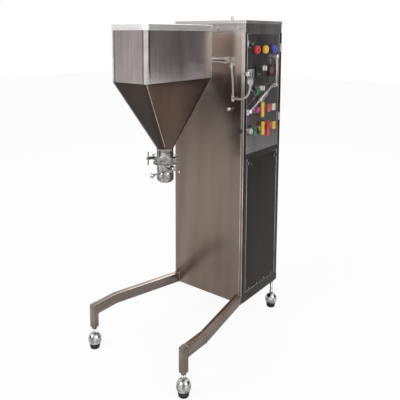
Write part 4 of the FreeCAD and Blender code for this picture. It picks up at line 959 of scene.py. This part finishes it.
# Polished weld beads run down the taper's corners and paint the highlight along each ridge; a polished bar
# up each straight corner paints that corner's highlight.
welds_and_glints = bmesh.new()
for sx, sy, start in CORNERS:
    seam_top = Vector((hopper_x + sx * (half_wide - 0.0035), hopper_y + sy * (half_long - 0.0035), fold_z))
    seam_low = Vector((hopper_x + sx * (neck_half - 0.0093), hopper_y + sy * (neck_half - 0.0093),
                       hopper_low.z))
    pipe(welds_and_glints, [seam_top.lerp(seam_low, k / 24) for k in range(25)],
         [0.0010 + 0.0002 * math.sin(k * 2.3) for k in range(25)], 8)
    pipe(welds_and_glints, [seam_top, (seam_top.x, seam_top.y, hopper_high.z - rim_drop)], 0.0012, 8)
piece("hopper_corner_seams", welds_and_glints, [bright_steel], "machine")
# A dark bar round the fold paints the shade line where the sides turn in.
fold_shade_line = bmesh.new()
fold_points = []
fold_round = corner_round + 0.0001
for sx, sy, start in CORNERS:
    for step in range(0, 91, 30):
        angle = math.radians(start + step)
        fold_points.append((hopper_x + sx * (half_wide - corner_round) + fold_round * math.cos(angle),
                            hopper_y + sy * (half_long - corner_round) + fold_round * math.sin(angle),
                            fold_z))
pipe(fold_shade_line, fold_points, 0.0012, 8, 0, True)
piece("hopper_fold_line", fold_shade_line, [taper_steel], "machine")

tube_steel = steel("tube_steel", (0.34, 0.31, 0.29), (0.66, 0.63, 0.61), (18, 18, 18), (260, 260, 260),
                   0.14, 0.05)
dress(tube_steel, "hopper_bracket")
bracket_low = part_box("hopper_bracket")[0]
arm_off, bar_z = 0.028, 1.143
bracket_welds = bmesh.new()
for arm_x in (-arm_off, arm_off):
    lathe(bracket_welds, mm((7.8, 4), (10.4, 4.1), (9.8, 5.6), (7.8, 6.6)), (arm_x, bracket_low.y, bar_z),
          "y", 24)
piece("bracket_welds", bracket_welds, [weld_steel], "machine", crease=60)
for pad_side, arm_x in (("left", -arm_off), ("right", arm_off)):
    ribs("pad_bolts_" + pad_side, "machine", "polished", (arm_x, bracket_low.y + 0.0050, bar_z), "+y", 4,
         0.0150,
         (0.0044, 0.0044, 0.0026), bright_steel)

# ---- Neck, clamp and lever valve -----------------------------------------------------------------
# Polished sanitary fittings: a tube neck and the valve's body meet at flared ferrules, drawn together
# by a two-part clamp with a bolt and a wing nut. The lever turns the ball, and a knurled union is below.

sanitary = steel("sanitary", (0.045, 0.038, 0.036), (0.68, 0.66, 0.65), (75, 75, 45), (340, 340, 340), 0.06,
                 0.02)
cast_steel = steel("cast_steel", (0.06, 0.052, 0.050), (0.58, 0.56, 0.54), (75, 75, 75), (900, 900, 900),
                   0.16, 0.2)
neck_low, neck_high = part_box("hopper_neck")
neck_bore, flare = 0.0301, 0.03875
neck = bmesh.new()
lathe(neck, [(neck_bore, neck_low.z), (flare - 0.0008, neck_low.z), (flare, neck_low.z + 0.0008),
             (flare - 0.0002, neck_low.z + 0.0030), (0.0330, neck_low.z + 0.0060),
             (neck_half, neck_low.z + 0.0085),
             (neck_half, neck_high.z - 0.0030), (neck_half + 0.0009, neck_high.z - 0.0022),
             (neck_half + 0.0009, neck_high.z - 0.0006), (neck_half - 0.0004, neck_high.z),
             (neck_bore, neck_high.z)],
      (hopper_x, hopper_y, 0), sides=56)
piece("neck_tube", neck, [sanitary], "machine", ["hopper_neck"])
dress(cast_steel, "clamp_front", "clamp_rear")
dress(sanitary, "valve_body", "valve_ball")
dress(label_white, "clamp_gasket")

nut_low, nut_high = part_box("clamp_wing_nut")
nut_x, nut_z = (nut_low.x + nut_high.x) / 2, (nut_low.z + nut_high.z) / 2
wing_nut = bmesh.new()
hub_length = nut_high.y - nut_low.y
lathe(wing_nut, [(0.0041, 0), (0.0058, 0), (0.0064, 0.0008), (0.0064, hub_length - 0.001),
                 (0.0060, hub_length),
                 (0.0041, hub_length)], (nut_x, nut_low.y, nut_z), "y", 28)
for side in (-1, 1):
    wing_path = [(nut_x, nut_low.y + 0.0030, nut_z + side * z) for z in (0.0050, 0.0110, 0.0170, 0.0220,
                                                                         0.0255, 0.0268)]
    pipe(wing_nut, wing_path, [0.0028, 0.0024, 0.0026, 0.0030, 0.0024, 0.0008], 14)
piece("clamp_wing", wing_nut, [sanitary], "clamp_wing_nut", ["clamp_wing_nut"], crease=50)

lever_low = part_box("valve_lever")[0]
lever_x, lever_z, end_ball = 0.042, 0.743, 0.009
lever = bmesh.new()
lathe(lever, mm((0, -5), (9.2, -5), (10, -4), (10, 4), (9.2, 5), (5, 5), (4.6, 4.9), (0, 4.9)),
      (lever_x, hopper_y, lever_z), "x", 36)
reach = (hopper_y - 0.006) - (lever_low.y + end_ball)
pipe(lever, [(lever_x, hopper_y - 0.006 - reach * k / 8, lever_z) for k in range(9)],
     [0.0040, 0.0040, 0.0036, 0.0034, 0.0033, 0.0033, 0.0034, 0.0036, 0.0038], 20)
lathe(lever, ball_profile(end_ball, 14), (lever_x, lever_low.y + end_ball, lever_z), "z", 36)
lathe(lever, mm((3.6, -13), (5.2, -12.6), (5.4, -10.4), (3.6, -10)),
      (lever_x, lever_low.y + end_ball + 0.021, lever_z), "y", 24)
piece("lever_handle", lever, [chrome], "valve_lever", ["valve_lever"], crease=50)

union_low, union_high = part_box("outlet_union")
union = bmesh.new()
foot_z, top_z = union_low.z, union_high.z
lathe(union, [(0.0120, foot_z), (0.0225, foot_z), (0.0238, foot_z + 0.0010), (0.0285, foot_z + 0.0042),
              (0.0300, foot_z + 0.0062), (0.0318, foot_z + 0.0080), (0.0318, top_z - 0.0050),
              (0.0305, top_z - 0.0022), (0.0295, top_z), (0.0120, top_z)], (hopper_x, hopper_y, 0),
      sides=56)
piece("union_nut", union, [sanitary], "machine", ["outlet_union"])
ribs("union_knurl", "machine", "polished", (hopper_x, hopper_y, (foot_z + top_z) / 2 + 0.0015), "+z", 40,
     0.0317,
     (0.0014, 0.0022, 0.0210), sanitary)

# ---- Air regulator -------------------------------------------------------------------------------
# A cast-aluminium body with a bracket to the cabinet, a clear bowl below, a fluted black knob above,
# and a small white-faced gauge in front with a plain ring of ticks.

alloy = steel("alloy", (0.18, 0.175, 0.17), (0.44, 0.43, 0.42), (30, 30, 30), (1100, 1100, 1100), 0.4, 0.35)
bowl_clear, _, bowl_shader, _ = patterned(
    "bowl_clear", moulded_surface, {"Base": (0.86, 0.87, 0.86, 1), "Mottle": 0.08, "Dullness": 0.05,
                                    "Texture Scale": 600})
fill(bowl_shader, {"Transmission Weight": 0.55, "IOR": 1.49})

body_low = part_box("regulator_body")[0]
bowl_low, bowl_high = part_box("regulator_bowl")
knob_low, knob_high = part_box("regulator_knob")
reg_x, reg_y = (bowl_low.x + bowl_high.x) / 2, (bowl_low.y + bowl_high.y) / 2
reg_half = 0.011
block_low, block_high = bowl_high.z, knob_low.z
regulator = bmesh.new()
slab(regulator, (reg_x - reg_half, reg_y - reg_half, block_low),
     (reg_x + reg_half, reg_y + reg_half, block_high),
     0.0018, 0, 3)
slab(regulator, (face_x, reg_y + 0.001, block_low + 0.012),
     (reg_x - reg_half + 0.001, reg_y + 0.010, block_low + 0.026),
     0.0008, 0, 2)
for groove in (0.010, 0.028):
    slab(regulator, (reg_x - reg_half - 0.0004, reg_y - reg_half - 0.0004, block_low + groove),
         (reg_x + reg_half + 0.0004, reg_y + reg_half + 0.0004, block_low + groove + 0.0012), 0.0003, 1, 1)
gauge_z = (block_low + block_high) / 2
lathe(regulator, mm((0, 0.3), (7.6, 0.3), (7.8, 0), (8.8, 0.4), (9, 1.4), (9, 9), (0, 9)),
      (reg_x, body_low.y, gauge_z), "y", 40, 1)
lathe(regulator, mm((0, 0.1), (7.4, 0.1), (7.4, 0.4), (0, 0.4)), (reg_x, body_low.y, gauge_z), "y", 40, 2)
slab(regulator, (reg_x - 0.0003, body_low.y, gauge_z - 0.001),
     (reg_x + 0.0003, body_low.y + 0.0003, gauge_z + 0.0055),
     0.0001, 3, 1)
piece("regulator_casting", regulator, [alloy, chrome, label_white, barrel_black], "machine",
      ["regulator_body"])
ribs("gauge_ticks", "machine", "aluminium", (reg_x, body_low.y + 0.0002, gauge_z), "-y", 16, 0.0063,
     (0.0014, 0.0003, 0.0003), barrel_black)
bowl = bmesh.new()
bowl_radius = (bowl_high.x - bowl_low.x) / 2
lathe(bowl, [(0, bowl_low.z), (0.0040, bowl_low.z), (0.0062, bowl_low.z + 0.0010),
             (0.0096, bowl_low.z + 0.0040),
             (bowl_radius, bowl_low.z + 0.0075), (bowl_radius, bowl_high.z - 0.0040),
             (bowl_radius - 0.0012, bowl_high.z - 0.0032), (bowl_radius - 0.0012, bowl_high.z),
             (0, bowl_high.z)],
      (reg_x, reg_y, 0), sides=44)
piece("regulator_glass", bowl, [bowl_clear], "machine", ["regulator_bowl"])
knob = bmesh.new()
knob_radius = (knob_high.x - knob_low.x) / 2
lathe(knob, [(0.0042, knob_low.z), (knob_radius - 0.0010, knob_low.z),
             (knob_radius - 0.0002, knob_low.z + 0.0014),
             (knob_radius - 0.0006, knob_high.z - 0.0030), (knob_radius - 0.0020, knob_high.z - 0.0008),
             (knob_radius - 0.0032, knob_high.z), (0.0042, knob_high.z)], (reg_x, reg_y, 0), sides=44)
piece("regulator_cap", knob, [knob_black], "regulator_knob", ["regulator_knob"])
ribs("regulator_flutes", "regulator_knob", "black_plastic", (reg_x, reg_y, knob_low.z + 0.0052), "+z", 24,
     knob_radius - 0.0006, (0.0010, 0.0011, 0.0076), knob_black)

# ---- Air line ------------------------------------------------------------------------------------
# 8 mm polyurethane air hose: a supply run down to a tee by the cabinet's front corner, and a branch
# round the corner up to the regulator. Nickel push-in fittings hold each end.

hose_white = moulded("hose_white", (0.46, 0.44, 0.42), 0.28, 0.06, 0.2, 500, 0.02)
nickel = steel("nickel", (0.46, 0.44, 0.41), (0.76, 0.74, 0.70), (30, 30, 30), (400, 400, 400), 0.15, 0.05)
dress(nickel, "air_fittings")
supply_route = [(0.126, 0.0705, 1.112), (0.132, 0.0705, 1.068), (0.134, 0.0705, 1.030),
                (0.134, 0.0705, 1.003)]
branch_route = [(0.144, 0.0705, 0.993), (0.166, 0.0705, 0.989), (0.198, 0.0685, 1.002),
                (0.212, 0.0665, 1.022),
                (0.212, 0.0725, 1.045)]


def air_hose(name, route, replaced):
    """A length of air hose on a smooth line through its route."""
    line = bpy.data.curves.new(name, "CURVE")
    line.dimensions = "3D"
    line.bevel_depth = 0.004
    line.bevel_resolution = 5
    line.use_fill_caps = True
    line.resolution_u = 16
    spline = line.splines.new("NURBS")
    spline.points.add(len(route) - 1)
    for point, at in zip(spline.points, route):
        point.co = (*at, 1)
    spline.order_u = 3
    spline.use_endpoint_u = True
    line.materials.append(hose_white)
    made = bpy.data.objects.new(name, line)
    bpy.context.scene.collection.objects.link(made)
    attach(made, "machine")
    if replaced:
        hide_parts("air_hoses")


air_hose("supply_hose", supply_route, True)
air_hose("branch_hose", branch_route, False)
for collar_name, collar_at, collar_turn in (("supply_top", (0.126, 0.0705, 1.1130), "+z"),
                                            ("supply_end", (0.134, 0.0705, 1.0035), "+z"),
                                            ("branch_start", (0.1535, 0.0705, 0.993), "+x"),
                                            ("branch_end", (0.212, 0.0725, 1.0460), "+z")):
    ribs(collar_name + "_collar", "machine", "aluminium", collar_at, collar_turn, 14, 0.0066,
         (0.0016, 0.0018, 0.0030), nickel)

# ---- Piston drive --------------------------------------------------------------------------------
# Inside the cabinet a welded plate with three shelves holds a polished product barrel below and an
# air cylinder above, and one chromed rod joins their pistons.

dress(leg_steel, "drive_mount")
dress(sanitary, "product_barrel")
dress(alloy, "air_cylinder_ends")
dress(cover_steel, "air_barrel")
dress(chrome, "piston_rod")
cap_low, cap_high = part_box("air_cylinder_ends")
screws("cap_screws", "machine", (cap_low.x + 0.008, cap_low.y + 0.008, cap_high.z),
       (cap_high.x - cap_low.x - 0.016, 0, 0),
       2, "+z", 0.0050, 0.0030)

# ---- Front and back fittings ---------------------------------------------------------------------
# A dark cable gland and a plain screw on the cabinet's front, and two rows of screws with rows of
# pressed louvres on its back.

gland = bmesh.new()
gland_at = (0.1625, shell_low.y, 0.8620)
lathe(gland, mm((0, 0), (9.5, 0), (9.5, -3), (7.8, -3.4), (7.8, -9), (5, -10.5), (3, -10.5), (0, -6)),
      gland_at, "y", 28)
piece("front_gland", gland, [knob_black], "machine")
screws("front_screw", "machine", (-0.150, shell_low.y, 0.640), (0, 0, 0.4), 1, "-y", 0.0050, 0.0025)
for screw_side, screw_x in (("left", shell_low.x + seam_inset), ("right", shell_high.x - seam_inset)):
    screws("back_screws_" + screw_side, "machine", (screw_x, shell_high.y, shell_low.z + 0.060),
           (0, 0, 0.200), 6, "+y",
           0.0040, 0.0020)
louvres = bmesh.new()
for k in range(8):
    louvre_z = 0.260 + 0.018 * k
    pipe(louvres, [(-0.060 + 0.010 * i, shell_high.y - 0.0012, louvre_z) for i in range(13)],
         [0.0010 + 0.0030 * math.sin(math.pi * i / 12) for i in range(13)], 10)
piece("back_louvres", louvres, [cabinet_steel], "machine", crease=50)
